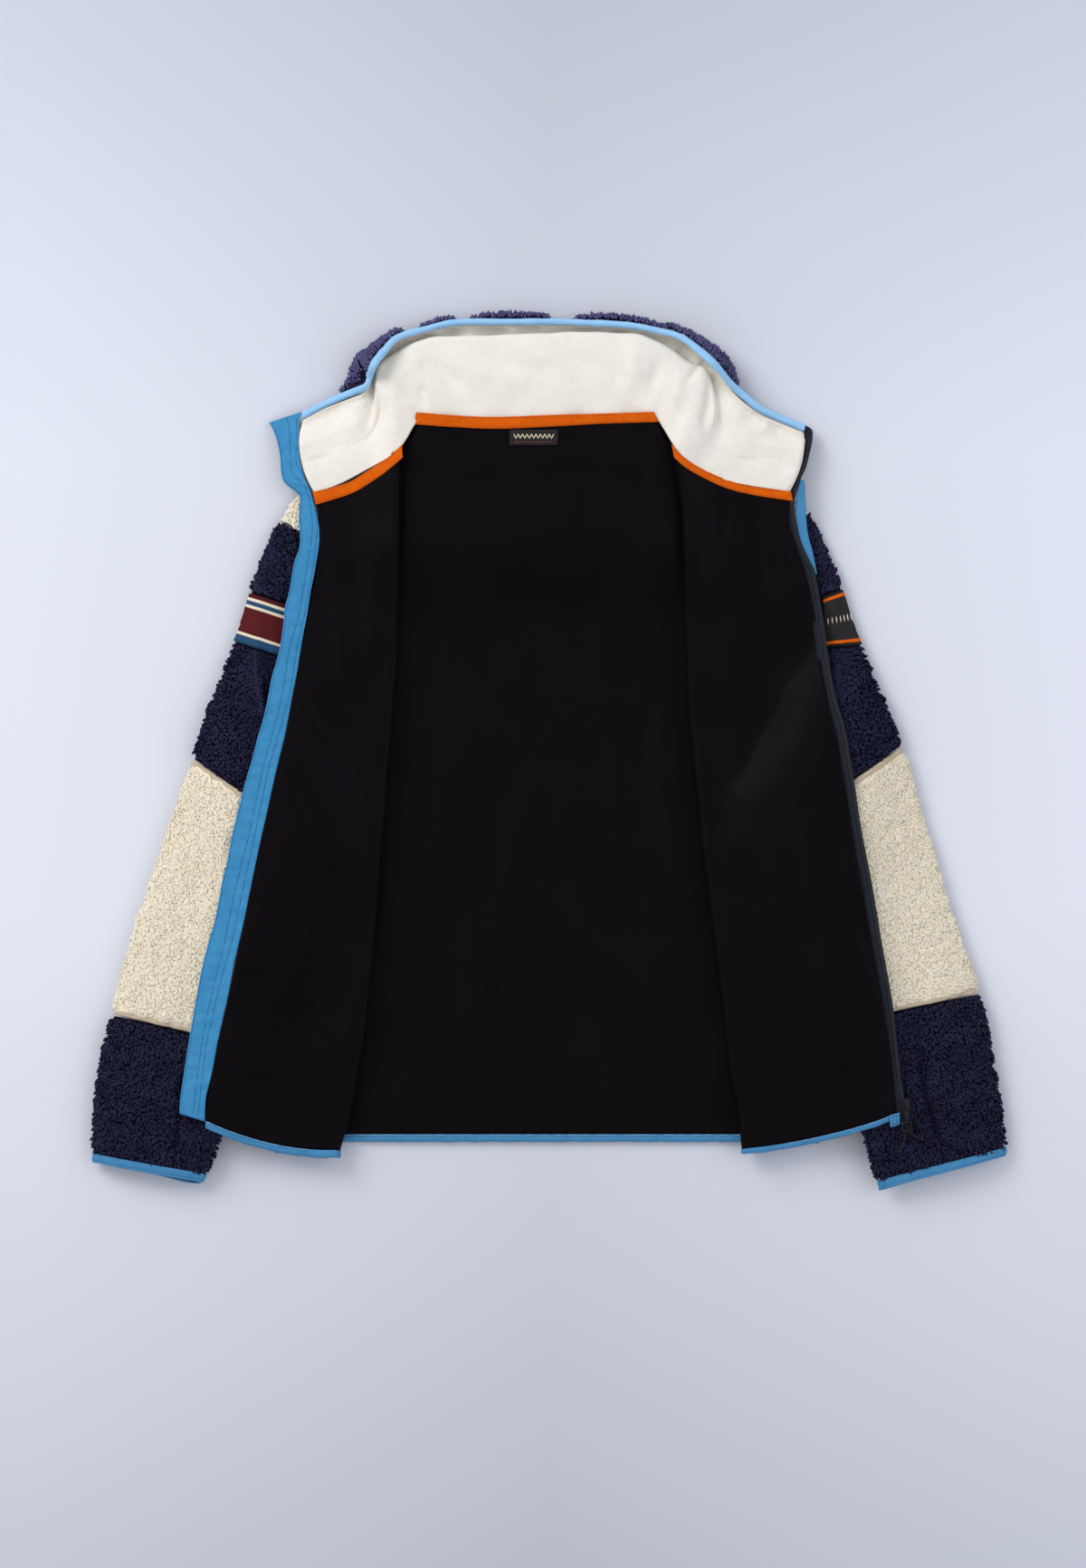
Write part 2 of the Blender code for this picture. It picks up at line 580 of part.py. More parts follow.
grid = np.array([hood_section("right" if k < 12 else "left", row) for k, row in enumerate(HOOD)])
hn = normals(grid)
long_grid = np.array([hood_section("right" if k < 12 else "left", row, 7.6) for k, row in enumerate(HOOD)])
ln = normals(long_grid)
hn[:, 0] = (0, 0, -1)
hn[:, -1] = ln[:, -1]
slab("hood_shell", grid + hn * SHERPA, grid, NAVY)
slab("hood_lining", grid - hn * GAP, grid - hn * (GAP + FLEECE), HOOD_CREAM, 0.8)
edge_dir = long_grid[:, -1] - long_grid[:, -2]
edge_dir /= np.linalg.norm(edge_dir, axis=1, keepdims=True)
seam = np.array([6.2 if 40 < abs(row[-1]) < 120 and abs(row[0]) > 112 else 1.4 for row in HOOD])
first = grid[:, -1] + edge_dir * seam[:, None]
rim_grid = np.stack([first, long_grid[:, -1]], axis=1)
rn = np.repeat(ln[:, -1:], 2, axis=1)
slab("hood_rim_binding", rim_grid + rn * (SHERPA + 0.2), rim_grid - rn * (GAP + FLEECE + 0.2), PALE_BLUE, 0.7)

# ---- tapes along the centre front edges and up the ends of the collar -----------------------------
# outer edge beside the collar, from the neck seam to the rim: x, y
COLLAR_TAPE = {"right": [(-242, 244), (-252, 257), (-258, 276), (-262, 295), (-268, 312)],
               "left": [(238, 252), (243, 265), (249, 280), (252, 296), (250, 309)]}
COLLAR_STATIONS = (0.07, 0.28, 0.52, 0.76, 0.98)
TAPE_DROP = 1.0


def collar_end(side, f):
    path = np.array(hood_section(side, HOOD[0] if side == "right" else HOOD[-1]))
    run = np.concatenate([[0], np.cumsum(np.linalg.norm(np.diff(path, axis=0), axis=1))])
    return np.array([np.interp(f * run[-1], run, path[:, k]) for k in range(3)])


for side in ("right", "left"):
    band = []
    edges = [(np.array([r[4], r[5], flap_z(side, r[4], r[5])]),
              np.array([r[6], r[7], max(flap_z(side, r[6], r[7]) - TAPE_DROP, 8.0)])) for r in FRONT[side][:-1]]
    for f, q in zip(COLLAR_STATIONS, COLLAR_TAPE[side]):
        p = collar_end(side, f)
        p[0] += -1.5 if side == "right" else 1.5
        edges.append((p, np.array([q[0], q[1], p[2] - TAPE_DROP])))
    for p, q in edges:
        d = (q - p) * (1, 1, 0)
        a = p + d / np.linalg.norm(d) * (GAP * 1.6)
        band.append([a, (a + q) / 2, q])
    band = np.array(band)
    if side == "right":
        slab("placket_right", band + UP * 0.8, band - UP * 1.4, BLUE, 0.7)
        low = band.copy()
        low[:, 1:] = low[:, :1] + (low[:, 1:] - low[:, :1]) * 0.85
        slab("zip_tape_right", low - UP * 1.9, low - UP * 3.2, DARK, 0.7)
    else:
        slab("zip_tape_left", band + UP * 0.8, band - UP * 1.2, DARK, 0.7)

# ---- neck tapes ---------------------------------------------------------------------------------------
top = [p for p in BACK_TOP if p[1] > 313]
pts = [(-122, 315.6)] + top[1:-1] + [(98, 317.0)]
TAPE_RISE = ((-5.0, 0.5), (0.6, 1.4), (6.2, 3.2))
grid = np.array([[(x, y + dy, Z_BACK + pouch_lift(x, y) + GAP + LINING + dz) for dy, dz in TAPE_RISE]
                 for x, y in pts])
slab("neck_tape_back", grid + UP * 1.2, grid, ORANGE, 0.75)
for side, ends in (("right", (-221, -199, -180, -162, -149)), ("left", (126, 141, 167, 198, 225))):
    grid = []
    for x in ends:
        y = neck_y(side, x)
        grid.append([(x, y + dy, flap_z(side, x, y + dy) + GAP + LINING + dz)
                     for dy, dz in ((-8.6, 1.2), (-4.0, 1.5), (1.4, 2.6))])
    grid = np.array(grid, float)
    slab(f"neck_tape_{side}", grid + UP * 1.2, grid, ORANGE, 0.75)

# neck label
grid = np.array([[(x, y, Z_BACK + pouch_lift(x, y) + GAP + LINING + 0.5) for y in (291, 305.2)] for x in (-38, -15, 8)])
slab("neck_label", grid + UP * 0.8, grid, DARK, 0.8)

# ---- patches lying on the sleeves ----------------------------------------------------------------------
# columns: corner x, y  (lower outer, lower inner, upper inner, upper outer)
PATCH = {
    "right": [(-297.5, 103), (-247, 86.5), (-243, 136), (-281.5, 148.5)],
    "left": [(302, 101), (263, 98), (262, 146), (286, 156)],
}


def on_sleeve(side, x, y):
    best = 0.0
    for dx, dy in ((0, 0), (6, 0), (-6, 0), (0, 9), (0, -9), (6, 9), (-6, -9), (6, -9), (-6, 9)):
        hit = SLEEVE_SOLID[side].ray_cast(Vector((x + dx, y + dy, 90)), Vector((0, 0, -1)))
        best = max(best, hit[0].z if hit[0] is not None else 0.0)
    return best


for side, colour in (("right", MAROON), ("left", DARK)):
    a, b, c, d = [np.array(p, float) for p in PATCH[side]]
    grid = []
    for i in range(7):
        v = i / 6
        row = []
        for j in range(7):
            u = j / 6
            p = (a * (1 - u) + b * u) * (1 - v) + (d * (1 - u) + c * u) * v
            row.append((p[0], p[1], on_sleeve(side, p[0], p[1]) + 2.2))
        grid.append(row)
    grid = np.array(grid)
    slab(f"patch_sleeve_{side}", grid + UP * 1.0, grid, colour, 0.8)

# ---- facing strip beside the zip at the neck ----------------------------------------------------------
# columns: inner edge x, y, width
FACING = [(242.5, 258, 1.5), (239.5, 240, 6.0), (239.5, 225, 6.5), (241.5, 208, 6.0), (247.5, 188, 5.0), (254.5, 168, 1.5)]
grid = np.array([[(x, y, flap_z("left", x, y) - 2.4), (x + w, y, flap_z("left", x, y) - 2.8)] for x, y, w in FACING])
slab("facing_strip_left", grid + UP * 1.0, grid, BLUE, 0.7)

# ---- zip slider, its tab and its cord -----------------------------------------------------------------------
def box(name, x0, x1, y0, y1, z0, z1, colour):
    grid = np.array([[(x0, y0, 0), (x1, y0, 0)], [(x0, y1, 0), (x1, y1, 0)]], float)
    return slab(name, grid + UP * z1, grid + UP * z0, colour, 0.4)


tape_z = flap_z("left", 336, -340)
box("zip_slider", 335.5, 344.5, -346, -332, tape_z + 1.2, tape_z + 5.4, (0.012, 0.012, 0.014))
rest_z = on_sleeve("left", 341, -362) + 1.2
grid = np.array([[(336, -364, rest_z), (346, -364, rest_z)],
                 [(336, -347.2, tape_z + 2.6), (346, -347.2, tape_z + 2.6)]])
slab("zip_pull", grid + UP * 1.8, grid, (0.012, 0.012, 0.014), 0.5)
cord = [(341, -365.5), (338, -378), (335, -388)]
curve = bpy.data.curves.new("zip_cord", "CURVE")
curve.dimensions = "3D"
curve.bevel_depth = 1.1 * MM
curve.bevel_resolution = 2
curve.use_fill_caps = True
spline = curve.splines.new("POLY")
spline.points.add(len(cord) - 1)
for k, (x, y) in enumerate(cord):
    z = max(on_sleeve("left", x, y) + 2.0, 2.0)
    spline.points[k].co = (x * MM, y * MM, z * MM, 1)
obj = bpy.data.objects.new("zip_cord", curve)
collection.objects.link(obj)
mat = bpy.data.materials.new("zip_cord")
mat.use_nodes = True
mat.node_tree.nodes["Principled BSDF"].inputs["Base Color"].default_value = (0.012, 0.012, 0.014, 1)
curve.materials.append(mat)

# ---- put the origin under the centre of the bounding box ---------------------------------------------
bpy.context.view_layer.update()
low, high = np.full(3, 1e9), np.full(3, -1e9)
for obj in collection.objects:
    if obj.type == "MESH":
        for v in obj.data.vertices:
            low, high = np.minimum(low, v.co), np.maximum(high, v.co)
shift = Vector((-(low[0] + high[0]) / 2, -(low[1] + high[1]) / 2, -low[2]))
for obj in collection.objects:
    if obj.type == "MESH":
        for v in obj.data.vertices:
            v.co += shift
        obj.data.update()
    else:
        for point in obj.data.splines[0].points:
            point.co = (point.co[0] + shift.x, point.co[1] + shift.y, point.co[2] + shift.z, 1)
print("shift", [round(c * 1000, 3) for c in shift])
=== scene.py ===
# %% [markdown]
# # A hooded fleece jacket, opened and laid flat
# The real jacket is curly pile cloth outside and thin black lining inside, with woven
# tape round every raw edge.  It lies on its back with both fronts folded open, so the
# picture shows mostly lining, tape and the two sleeves.  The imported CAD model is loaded
# first and stays where it is; every cloth piece below is built again at a finer scale
# on the same lines and heights, and takes the place of its CAD solid.

# %% Load the fixed frame
import math

import bpy
import numpy as np
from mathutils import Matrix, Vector
from mathutils.bvhtree import BVHTree
from mathutils.kdtree import KDTree


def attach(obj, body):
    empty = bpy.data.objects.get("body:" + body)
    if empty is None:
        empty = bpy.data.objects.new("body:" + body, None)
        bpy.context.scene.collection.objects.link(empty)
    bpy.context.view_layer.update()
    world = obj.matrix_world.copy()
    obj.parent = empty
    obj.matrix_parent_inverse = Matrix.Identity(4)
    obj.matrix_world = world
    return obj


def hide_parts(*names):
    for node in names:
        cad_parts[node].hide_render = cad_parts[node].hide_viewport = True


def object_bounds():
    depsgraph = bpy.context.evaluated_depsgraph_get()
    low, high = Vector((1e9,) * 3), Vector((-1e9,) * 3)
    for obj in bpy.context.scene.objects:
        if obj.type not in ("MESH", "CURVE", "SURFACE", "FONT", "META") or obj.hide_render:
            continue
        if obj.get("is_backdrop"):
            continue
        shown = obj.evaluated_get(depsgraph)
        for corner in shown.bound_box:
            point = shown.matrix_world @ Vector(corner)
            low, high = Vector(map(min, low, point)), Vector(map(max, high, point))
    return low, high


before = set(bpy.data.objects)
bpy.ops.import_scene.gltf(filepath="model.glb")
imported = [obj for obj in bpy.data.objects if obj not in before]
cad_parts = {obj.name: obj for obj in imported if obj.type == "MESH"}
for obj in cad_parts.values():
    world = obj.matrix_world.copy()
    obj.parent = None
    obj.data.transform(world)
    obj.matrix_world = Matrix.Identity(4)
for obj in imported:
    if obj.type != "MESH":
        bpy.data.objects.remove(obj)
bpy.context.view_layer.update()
MM = 0.001
SHIFT = np.array([0.002, 1.933, 0.0])        # drawing millimetres to the row frame
UP = np.array([0.0, 0.0, 1.0])

# %% [markdown]
# ## Camera
# The picture was taken from straight above.  A long lens a few metres up keeps the
# sides of the sleeves from showing.  Heights in this file are millimetres above the
# surface, and places read from the picture go through `spot`, which turns its pixels
# into millimetres on the surface.

# %% Camera
PIXEL = 0.868                                # millimetres of table for one picture pixel
PICTURE_HIGH, SENSOR = 1733, 36              # picture height in pixels, the camera's longer side in mm


def spot(u, v):
    """Table millimetres of the picture's pixel (u, v)."""
    return (u - 607) * PIXEL, (829 - v) * PIXEL


def spots(*pairs):
    return np.array([spot(u, v) for u, v in pairs])


camera_height = 6.0
centre_x, centre_y = spot(600, 866.5)
camera = bpy.data.objects.new("camera", bpy.data.cameras.new("camera"))
bpy.context.scene.collection.objects.link(camera)
camera.location = ((centre_x + SHIFT[0]) * MM, (centre_y + SHIFT[1]) * MM, camera_height)
camera.data.lens = SENSOR * camera_height / (PICTURE_HIGH * PIXEL * MM)
camera.data.clip_end = 50
bpy.context.scene.camera = camera
bpy.context.scene.view_settings.view_transform = "Standard"
print("lens mm", round(camera.data.lens, 1))

# %% [markdown]
# ## Node helpers
# Every finish is a few nodes.  `node` makes one and sets its inputs: a value that is
# another node's socket is linked, any other is set.  `new_group` starts a group with
# named sockets, so that each material below reads as a short recipe.

# %% Node helpers
FLOAT, COLOUR = "NodeSocketFloat", "NodeSocketColor"


def node(tree, kind, values=None, **settings):
    made = tree.nodes.new(kind)
    for key, value in settings.items():
        setattr(made, key, value)
    for key, value in (values or {}).items():
        if isinstance(value, bpy.types.NodeSocket):
            tree.links.new(value, made.inputs[key])
        else:
            made.inputs[key].default_value = value
    return made


def new_group(name, inputs, outputs):
    """A shader node group, the sockets it is given and the ones it fills."""
    group = bpy.data.node_groups.new(name, "ShaderNodeTree")
    for label, kind, value in inputs:
        socket = group.interface.new_socket(label, in_out="INPUT", socket_type=kind)
        socket.default_value = value
    for label, kind in outputs:
        group.interface.new_socket(label, in_out="OUTPUT", socket_type=kind)
    return group, group.nodes.new("NodeGroupInput").outputs, group.nodes.new("NodeGroupOutput").inputs


def rgba(colour):
    return (*colour, 1.0)


print("node helpers ready")

# %% [markdown]
# ## Shared effects
# Three effects serve the finishes: a mottle that varies one colour towards another, a
# weave of fine crossing threads, and a fluff of short fibres.  Each is a group that
# puts out a colour or a height; the shader itself stays in the material.

# %% Group: mottle
mottle, given, wanted = new_group("Mottle", [
    ("Colour", COLOUR, (1, 1, 1, 1)), ("Second colour", COLOUR, (0, 0, 0, 1)), ("Scale", FLOAT, 60.0),
    ("Amount", FLOAT, 0.5), ("Detail scale", FLOAT, 600.0), ("Detail amount", FLOAT, 0.2)],
    [("Colour", COLOUR), ("Mask", FLOAT)])
place = node(mottle, "ShaderNodeTexCoord").outputs["Object"]
shares = []
for size, amount, low, high, grain in (("Scale", "Amount", 0.35, 0.65, {"Detail": 3.0, "Roughness": 0.6}),
                                       ("Detail scale", "Detail amount", 0.38, 0.62, {"Detail": 2.0})):
    noise = node(mottle, "ShaderNodeTexNoise", {"Vector": place, "Scale": given[size], **grain})
    spread = node(mottle, "ShaderNodeMapRange", {"Value": noise.outputs["Fac"], "From Min": low, "From Max": high})
    shares.append(node(mottle, "ShaderNodeMath", {0: spread.outputs["Result"], 1: given[amount]},
                       operation="MULTIPLY").outputs[0])
total = node(mottle, "ShaderNodeMath", dict(enumerate(shares)), operation="ADD", use_clamp=True).outputs[0]
mixed = node(mottle, "ShaderNodeMix", {"Factor": total, "A": given["Colour"], "B": given["Second colour"]},
             data_type="RGBA")
mottle.links.new(mixed.outputs["Result"], wanted["Colour"])
mottle.links.new(total, wanted["Mask"])
print("group", mottle.name)

# %% Group: weave
weave, given, wanted = new_group("Weave", [
    ("Threads per metre", FLOAT, 2500.0), ("Angle", FLOAT, 0.0), ("Slub", FLOAT, 0.3)], [("Height", FLOAT)])
place = node(weave, "ShaderNodeTexCoord").outputs["Object"]
turn = node(weave, "ShaderNodeVectorRotate", {"Vector": place, "Angle": given["Angle"]}, rotation_type="Z_AXIS")
ribs = [node(weave, "ShaderNodeTexWave", {"Vector": turn.outputs["Vector"], "Scale": given["Threads per metre"],
                                          "Distortion": 0.6, "Detail": 1.0}, bands_direction=way).outputs["Fac"]
        for way in ("X", "Y")]
crossed = node(weave, "ShaderNodeMath", dict(enumerate(ribs)), operation="MAXIMUM")
slub = node(weave, "ShaderNodeTexNoise", {"Vector": place, "Scale": 900.0, "Detail": 2.0})
blend = node(weave, "ShaderNodeMix", {"Factor": given["Slub"], "A": crossed.outputs[0], "B": slub.outputs["Fac"]},
             data_type="FLOAT")
weave.links.new(blend.outputs["Result"], wanted["Height"])
print("group", weave.name)

# %% Group: fluff
fluff, given, wanted = new_group("Fluff", [
    ("Fibre scale", FLOAT, 1600.0), ("Clump scale", FLOAT, 260.0), ("Clumps", FLOAT, 0.5)], [("Height", FLOAT)])
place = node(fluff, "ShaderNodeTexCoord").outputs["Object"]
fibre = node(fluff, "ShaderNodeTexNoise", {"Vector": place, "Scale": given["Fibre scale"], "Detail": 4.0,
                                           "Roughness": 0.7, "Distortion": 1.2})
clump = node(fluff, "ShaderNodeTexVoronoi", {"Vector": place, "Scale": given["Clump scale"]}, feature="SMOOTH_F1")
blend = node(fluff, "ShaderNodeMix", {"Factor": given["Clumps"], "A": fibre.outputs["Fac"],
                                      "B": clump.outputs["Distance"]}, data_type="FLOAT")
fluff.links.new(blend.outputs["Result"], wanted["Height"])
print("group", fluff.name)

# %% [markdown]
# ## Cloth finishes
# A cloth material is a base colour mottled towards a second one, a height from weave
# or fluff for the bump, and a shader with high roughness.  Sheen gives the soft rim
# light that thread ends have.  One function builds them all; short ones on top of it
# say what all piles, all fleeces, all blue tapes and all threads have in common.


# %% Cloth finishes
def new_finish(name, shading):
    """A new material, its node tree and its shader with some values set."""
    made = bpy.data.materials.new(name)
    made.use_nodes = True
    shader = made.node_tree.nodes["Principled BSDF"]
    for key, value in shading.items():
        shader.inputs[key].default_value = value
    return made, made.node_tree, shader


def cloth_finish(name, colour, second, rough, relief, relief_values, bump=0.3, depth=0.0004,
                 mottle_values=None, sheen=0.0, sheen_colour=(1, 1, 1), gloss=0.3):
    """A cloth material: mottled colour, a bump from the relief group, soft shading."""
    made, tree, shader = new_finish(name, {
        "Roughness": rough, "Specular IOR Level": gloss, "Sheen Weight": sheen,
        "Sheen Tint": rgba(sheen_colour), "Sheen Roughness": 0.5})
    colours = node(tree, "ShaderNodeGroup", {"Colour": rgba(colour), "Second colour": rgba(second),
                                             **(mottle_values or {})}, node_tree=mottle)
    height = node(tree, "ShaderNodeGroup", relief_values, node_tree=relief)
    bumped = node(tree, "ShaderNodeBump", {"Strength": bump, "Distance": depth, "Height": height.outputs["Height"]})
    tree.links.new(colours.outputs["Colour"], shader.inputs["Base Color"])
    tree.links.new(bumped.outputs["Normal"], shader.inputs["Normal"])
    made.diffuse_color = rgba(colour)
    return made


def woven(threads, angle=0.0, slub=0.3):
    return {"Threads per metre": threads, "Angle": angle, "Slub": slub}


def fluffy(fibre, clump, clumps):
    return {"Fibre scale": fibre, "Clump scale": clump, "Clumps": clumps}


def mottled(scale, amount, detail_scale=600.0, detail=0.2):
    return {"Scale": scale, "Amount": amount, "Detail scale": detail_scale, "Detail amount": detail}


def pile_finish(name, colour, second, bump, depth, **look):
    return cloth_finish(name, colour, second, 0.95, fluff, fluffy(1500.0, 330.0, 0.35), bump, depth,
                        mottled(50.0, 0.5, 400.0, 0.75), **look)


def fleece_finish(name, colour, second, sheen):
    return cloth_finish(name, colour, second, 0.95, fluff, fluffy(900.0, 300.0, 0.3), 0.35, 0.0006,
                        mottled(160.0, 0.35, 700.0, 0.35), sheen=sheen, gloss=0.1)


def blue_finish(name, colour, second):
    return cloth_finish(name, colour, second, 0.72, weave, woven(700.0, 0.1, 0.45), 0.25, 0.0003,
                        mottled(70.0, 0.45, 900.0, 0.3), sheen=0.05, gloss=0.15)


def thread_finish(name, colour, second, rough=0.6):
    return cloth_finish(name, colour, second, rough, weave, woven(1500.0), 0.2, 0.0002)


# Each pile has a dark root finish and a lighter tip finish: the lighter tips are painted highlight and the darker roots
# are painted shade between the locks.
navy_pile = pile_finish("navy pile", (0.0032, 0.0033, 0.0085), (0.0075, 0.0075, 0.0190), 0.5, 0.0007,
                        sheen=0.05, sheen_colour=(0.40, 0.38, 0.80), gloss=0.05)
navy_highlight_tips = pile_finish("navy pile highlight tips", (0.0060, 0.0065, 0.0180), (0.0275, 0.0272, 0.0670), 0.5, 0.0007,
                        sheen=0.09, sheen_colour=(0.42, 0.40, 0.85), gloss=0.05)
cream_pile = pile_finish("cream pile", (0.87, 0.80, 0.655), (0.83, 0.735, 0.565), 0.4, 0.0006, sheen=0.25, gloss=0.1)
cream_highlight_tips = pile_finish("cream pile highlight tips", (0.885, 0.83, 0.695), (0.855, 0.775, 0.615), 0.3, 0.0006,
                         sheen=0.35, gloss=0.1)
# A still lighter tip finish for the hood's locks past the rim: painted highlight where that pile catches the light.
hood_highlight_tips = pile_finish("navy pile hood highlight tips", (0.050, 0.047, 0.122), (0.120, 0.110, 0.250), 0.5, 0.0007,
                       sheen=0.2, sheen_colour=(0.45, 0.42, 0.9), gloss=0.05)
NAVY, CREAM = [navy_pile, navy_highlight_tips], [cream_pile, cream_highlight_tips]
black_lining = cloth_finish("black lining", (0.0026, 0.0015, 0.0028), (0.0042, 0.0027, 0.0046), 0.5, weave,
                            woven(900.0, 0.6, 0.35), 0.12, 0.0002, mottled(14.0, 0.5, 900.0, 0.3),
                            sheen=0.01, sheen_colour=(0.5, 0.46, 0.58), gloss=0.045)
hood_fleece = fleece_finish("hood fleece", (0.84, 0.81, 0.75), (0.745, 0.71, 0.64), 0.15)
# A darker, warmer copy of the hood fleece for the inner wall: painted shade where the wall lies deep in the fold.
wall_shade_fleece = fleece_finish("hood fleece with painted shade", (0.80, 0.755, 0.68), (0.70, 0.645, 0.55), 0.1)
blue_tape = blue_finish("blue tape", (0.046, 0.203, 0.412), (0.072, 0.268, 0.498))
# The placket's tape is the blue tape painted a little lighter and more saturated: painted light where the placket faces
# the light.
painted_lighter_placket = blue_finish("placket tape painted lighter", (0.033, 0.214, 0.45), (0.058, 0.288, 0.54))
pale_tape = cloth_finish("pale blue tape", (0.26, 0.52, 0.83), (0.34, 0.60, 0.88), 0.6, weave,
                         woven(700.0, 0.4, 0.4), 0.2, 0.0003, mottled(60.0, 0.4, 700.0), sheen=0.1, gloss=0.35)
orange_tape = cloth_finish("orange tape", (0.80, 0.142, 0.003), (0.58, 0.078, 0.002), 0.8, weave,
                           woven(620.0, 0.75, 0.25), 0.45, 0.0004, mottled(90.0, 0.35, 800.0, 0.45), gloss=0.08)
dark_tape = cloth_finish("dark tape", (0.004, 0.005, 0.010), (0.008, 0.010, 0.018), 0.75, weave,
                         woven(650.0, 0.8, 0.2), 0.5, 0.0004, mottled(100.0, 0.4))
beige_tape = cloth_finish("beige seam tape", (0.60, 0.50, 0.38), (0.42, 0.33, 0.23), 0.85, weave,
                          woven(600.0, 0.8), 0.5, 0.0004, mottled(120.0, 0.4))
blue_thread = thread_finish("blue thread", (0.012, 0.090, 0.225), (0.020, 0.12, 0.28))
# Pale thread laid along the hems' folds is a painted highlight on the folded edge, not stitching.
highlight_thread = thread_finish("pale highlight thread", (0.42, 0.64, 0.84), (0.36, 0.58, 0.80))
orange_thread = thread_finish("orange thread", (0.50, 0.085, 0.006), (0.35, 0.055, 0.005))
beige_thread = thread_finish("beige thread", (0.72, 0.62, 0.48), (0.60, 0.50, 0.38), 0.7)
maroon_cloth = cloth_finish("maroon cloth", (0.082, 0.010, 0.012), (0.105, 0.014, 0.016), 0.85, weave,
                            woven(800.0, 0.3), 0.35, 0.0003, mottled(80.0, 0.4, 600.0, 0.3), gloss=0.1)
stripe_cream = cloth_finish("stripe cream", (0.78, 0.70, 0.53), (0.66, 0.57, 0.40), 0.8, weave,
                            woven(800.0), 0.3, 0.0003)
stripe_navy = cloth_finish("stripe navy", (0.010, 0.055, 0.135), (0.016, 0.075, 0.17), 0.8, weave,
                           woven(800.0), 0.3, 0.0003)
dark_patch = cloth_finish("dark patch cloth", (0.010, 0.009, 0.010), (0.022, 0.020, 0.022), 0.85, weave,
                          woven(700.0, 0.0, 0.4), 0.4, 0.0004)
print(len(bpy.data.materials), "materials so far")

# %% [markdown]
# ## Hard finishes
# The zip's coil, slider and pull are the only hard parts: dark moulded teeth with a
# soft gloss, a painted metal slider and a dull plastic pull, each a little brighter
# where it is worn.


# %% Hard finishes
def hard_finish(name, colour, worn, rough, metal, gloss=0.5):
    made, tree, shader = new_finish(name, {"Metallic": metal, "Specular IOR Level": gloss})
    colours = node(tree, "ShaderNodeGroup", {"Colour": rgba(colour), "Second colour": rgba(worn),
                                             **mottled(300.0, 0.3, 1500.0, 0.15)}, node_tree=mottle)
    level = node(tree, "ShaderNodeMapRange", {"Value": colours.outputs["Mask"], "To Min": rough, "To Max": rough + 0.2})
    tree.links.new(colours.outputs["Colour"], shader.inputs["Base Color"])
    tree.links.new(level.outputs["Result"], shader.inputs["Roughness"])
    return made


coil_plastic = hard_finish("coil plastic", (0.020, 0.024, 0.032), (0.052, 0.060, 0.072), 0.34, 0.0)
slider_metal = hard_finish("slider metal", (0.006, 0.006, 0.007), (0.020, 0.020, 0.022), 0.5, 0.1, 0.22)
pull_plastic = hard_finish("pull plastic", (0.005, 0.005, 0.006), (0.015, 0.015, 0.017), 0.55, 0.0, 0.22)
print("hard finishes", coil_plastic.name, slider_metal.name, pull_plastic.name)

# %% [markdown]
# ## Curves and grids
# Every cloth piece starts as a grid of points.  `cubic` runs a smooth curve through the
# rows of a table, `refine` does the same in both directions of a grid, and `shell`
# closes two grids into one thin solid sheet.


# %% Curves and grids
def smooth(t):
    t = np.clip(t, 0.0, 1.0)
    return t * t * (3 - 2 * t)


def unit(v):
    v = np.asarray(v, float)
    return v / np.maximum(np.linalg.norm(v, axis=-1, keepdims=True), 1e-9)


def cubic(rows, t, wrap=False):
    """Smooth curve through the rows at the places t, counted in rows."""
    a, t = np.asarray(rows, float), np.asarray(t, float)
    n = len(a)
    i = np.floor(t).astype(int)
    if wrap:
        p = [a[(i + k) % n] for k in (-1, 0, 1, 2)]
    else:
        i = np.clip(i, 0, n - 2)
        ends = np.concatenate([[2 * a[0] - a[1]], a, [2 * a[-1] - a[-2]]])
        p = [ends[i + k] for k in (0, 1, 2, 3)]
    f = (t - i).reshape((-1,) + (1,) * (a.ndim - 1))
    return 0.5 * (2 * p[1] + (p[2] - p[0]) * f + (2 * p[0] - 5 * p[1] + 4 * p[2] - p[3]) * f * f
                  + (3 * p[1] - p[0] - 3 * p[2] + p[3]) * f ** 3)


def refine(grid, rows, cols):
    """A grid with more rows and columns on a smooth surface through the first one."""
    g = np.swapaxes(cubic(grid, np.linspace(0, len(grid) - 1, rows)), 0, 1)
    return np.swapaxes(cubic(g, np.linspace(0, len(g) - 1, cols)), 0, 1)


def run_along(path):
    """How far along a line each of its points is."""
    return np.concatenate([[0], np.cumsum(np.linalg.norm(np.diff(path, axis=0), axis=1))])


def even(path, count):
    """The same line with its points evenly spaced."""
    path = np.asarray(path, float)
    run = run_along(path)
    at = np.linspace(0, run[-1], count)
    return np.stack([np.interp(at, run, path[:, k]) for k in range(path.shape[1])], axis=1)


def smooth_line(points, count):
    """An evenly spaced smooth line through a few points."""
    return even(cubic(points, np.linspace(0, len(points) - 1, 12 * len(points))), count)


def path_length(path):
    return float(np.linalg.norm(np.diff(path, axis=0), axis=1).sum())


def normals(grid, wrap=False):
    g = np.asarray(grid, float)
    dj = np.roll(g, -1, axis=1) - np.roll(g, 1, axis=1) if wrap else np.gradient(g, axis=1)
    return unit(np.cross(dj, np.gradient(g, axis=0)))


def quads(rows, cols, wrap=False, start=0):
    i, j = np.meshgrid(np.arange(rows - 1), np.arange(cols if wrap else cols - 1), indexing="ij")
    k = (j + 1) % cols
    return np.stack([i * cols + j, i * cols + k, (i + 1) * cols + k, (i + 1) * cols + j], -1).reshape(-1, 4) + start


print("grid tools ready")

# %% [markdown]
# ## Pieces
# `add_piece` puts points and faces into the scene: it moves them into the row frame,
# turns the faces outwards, shades them smooth and ties the piece to the jacket's one
# body.  `shell` and `ring_shell` make the two kinds of cloth: an open sheet and a tube.


# %% Piece builder
LOWEST = 0.02                                # mm above the surface


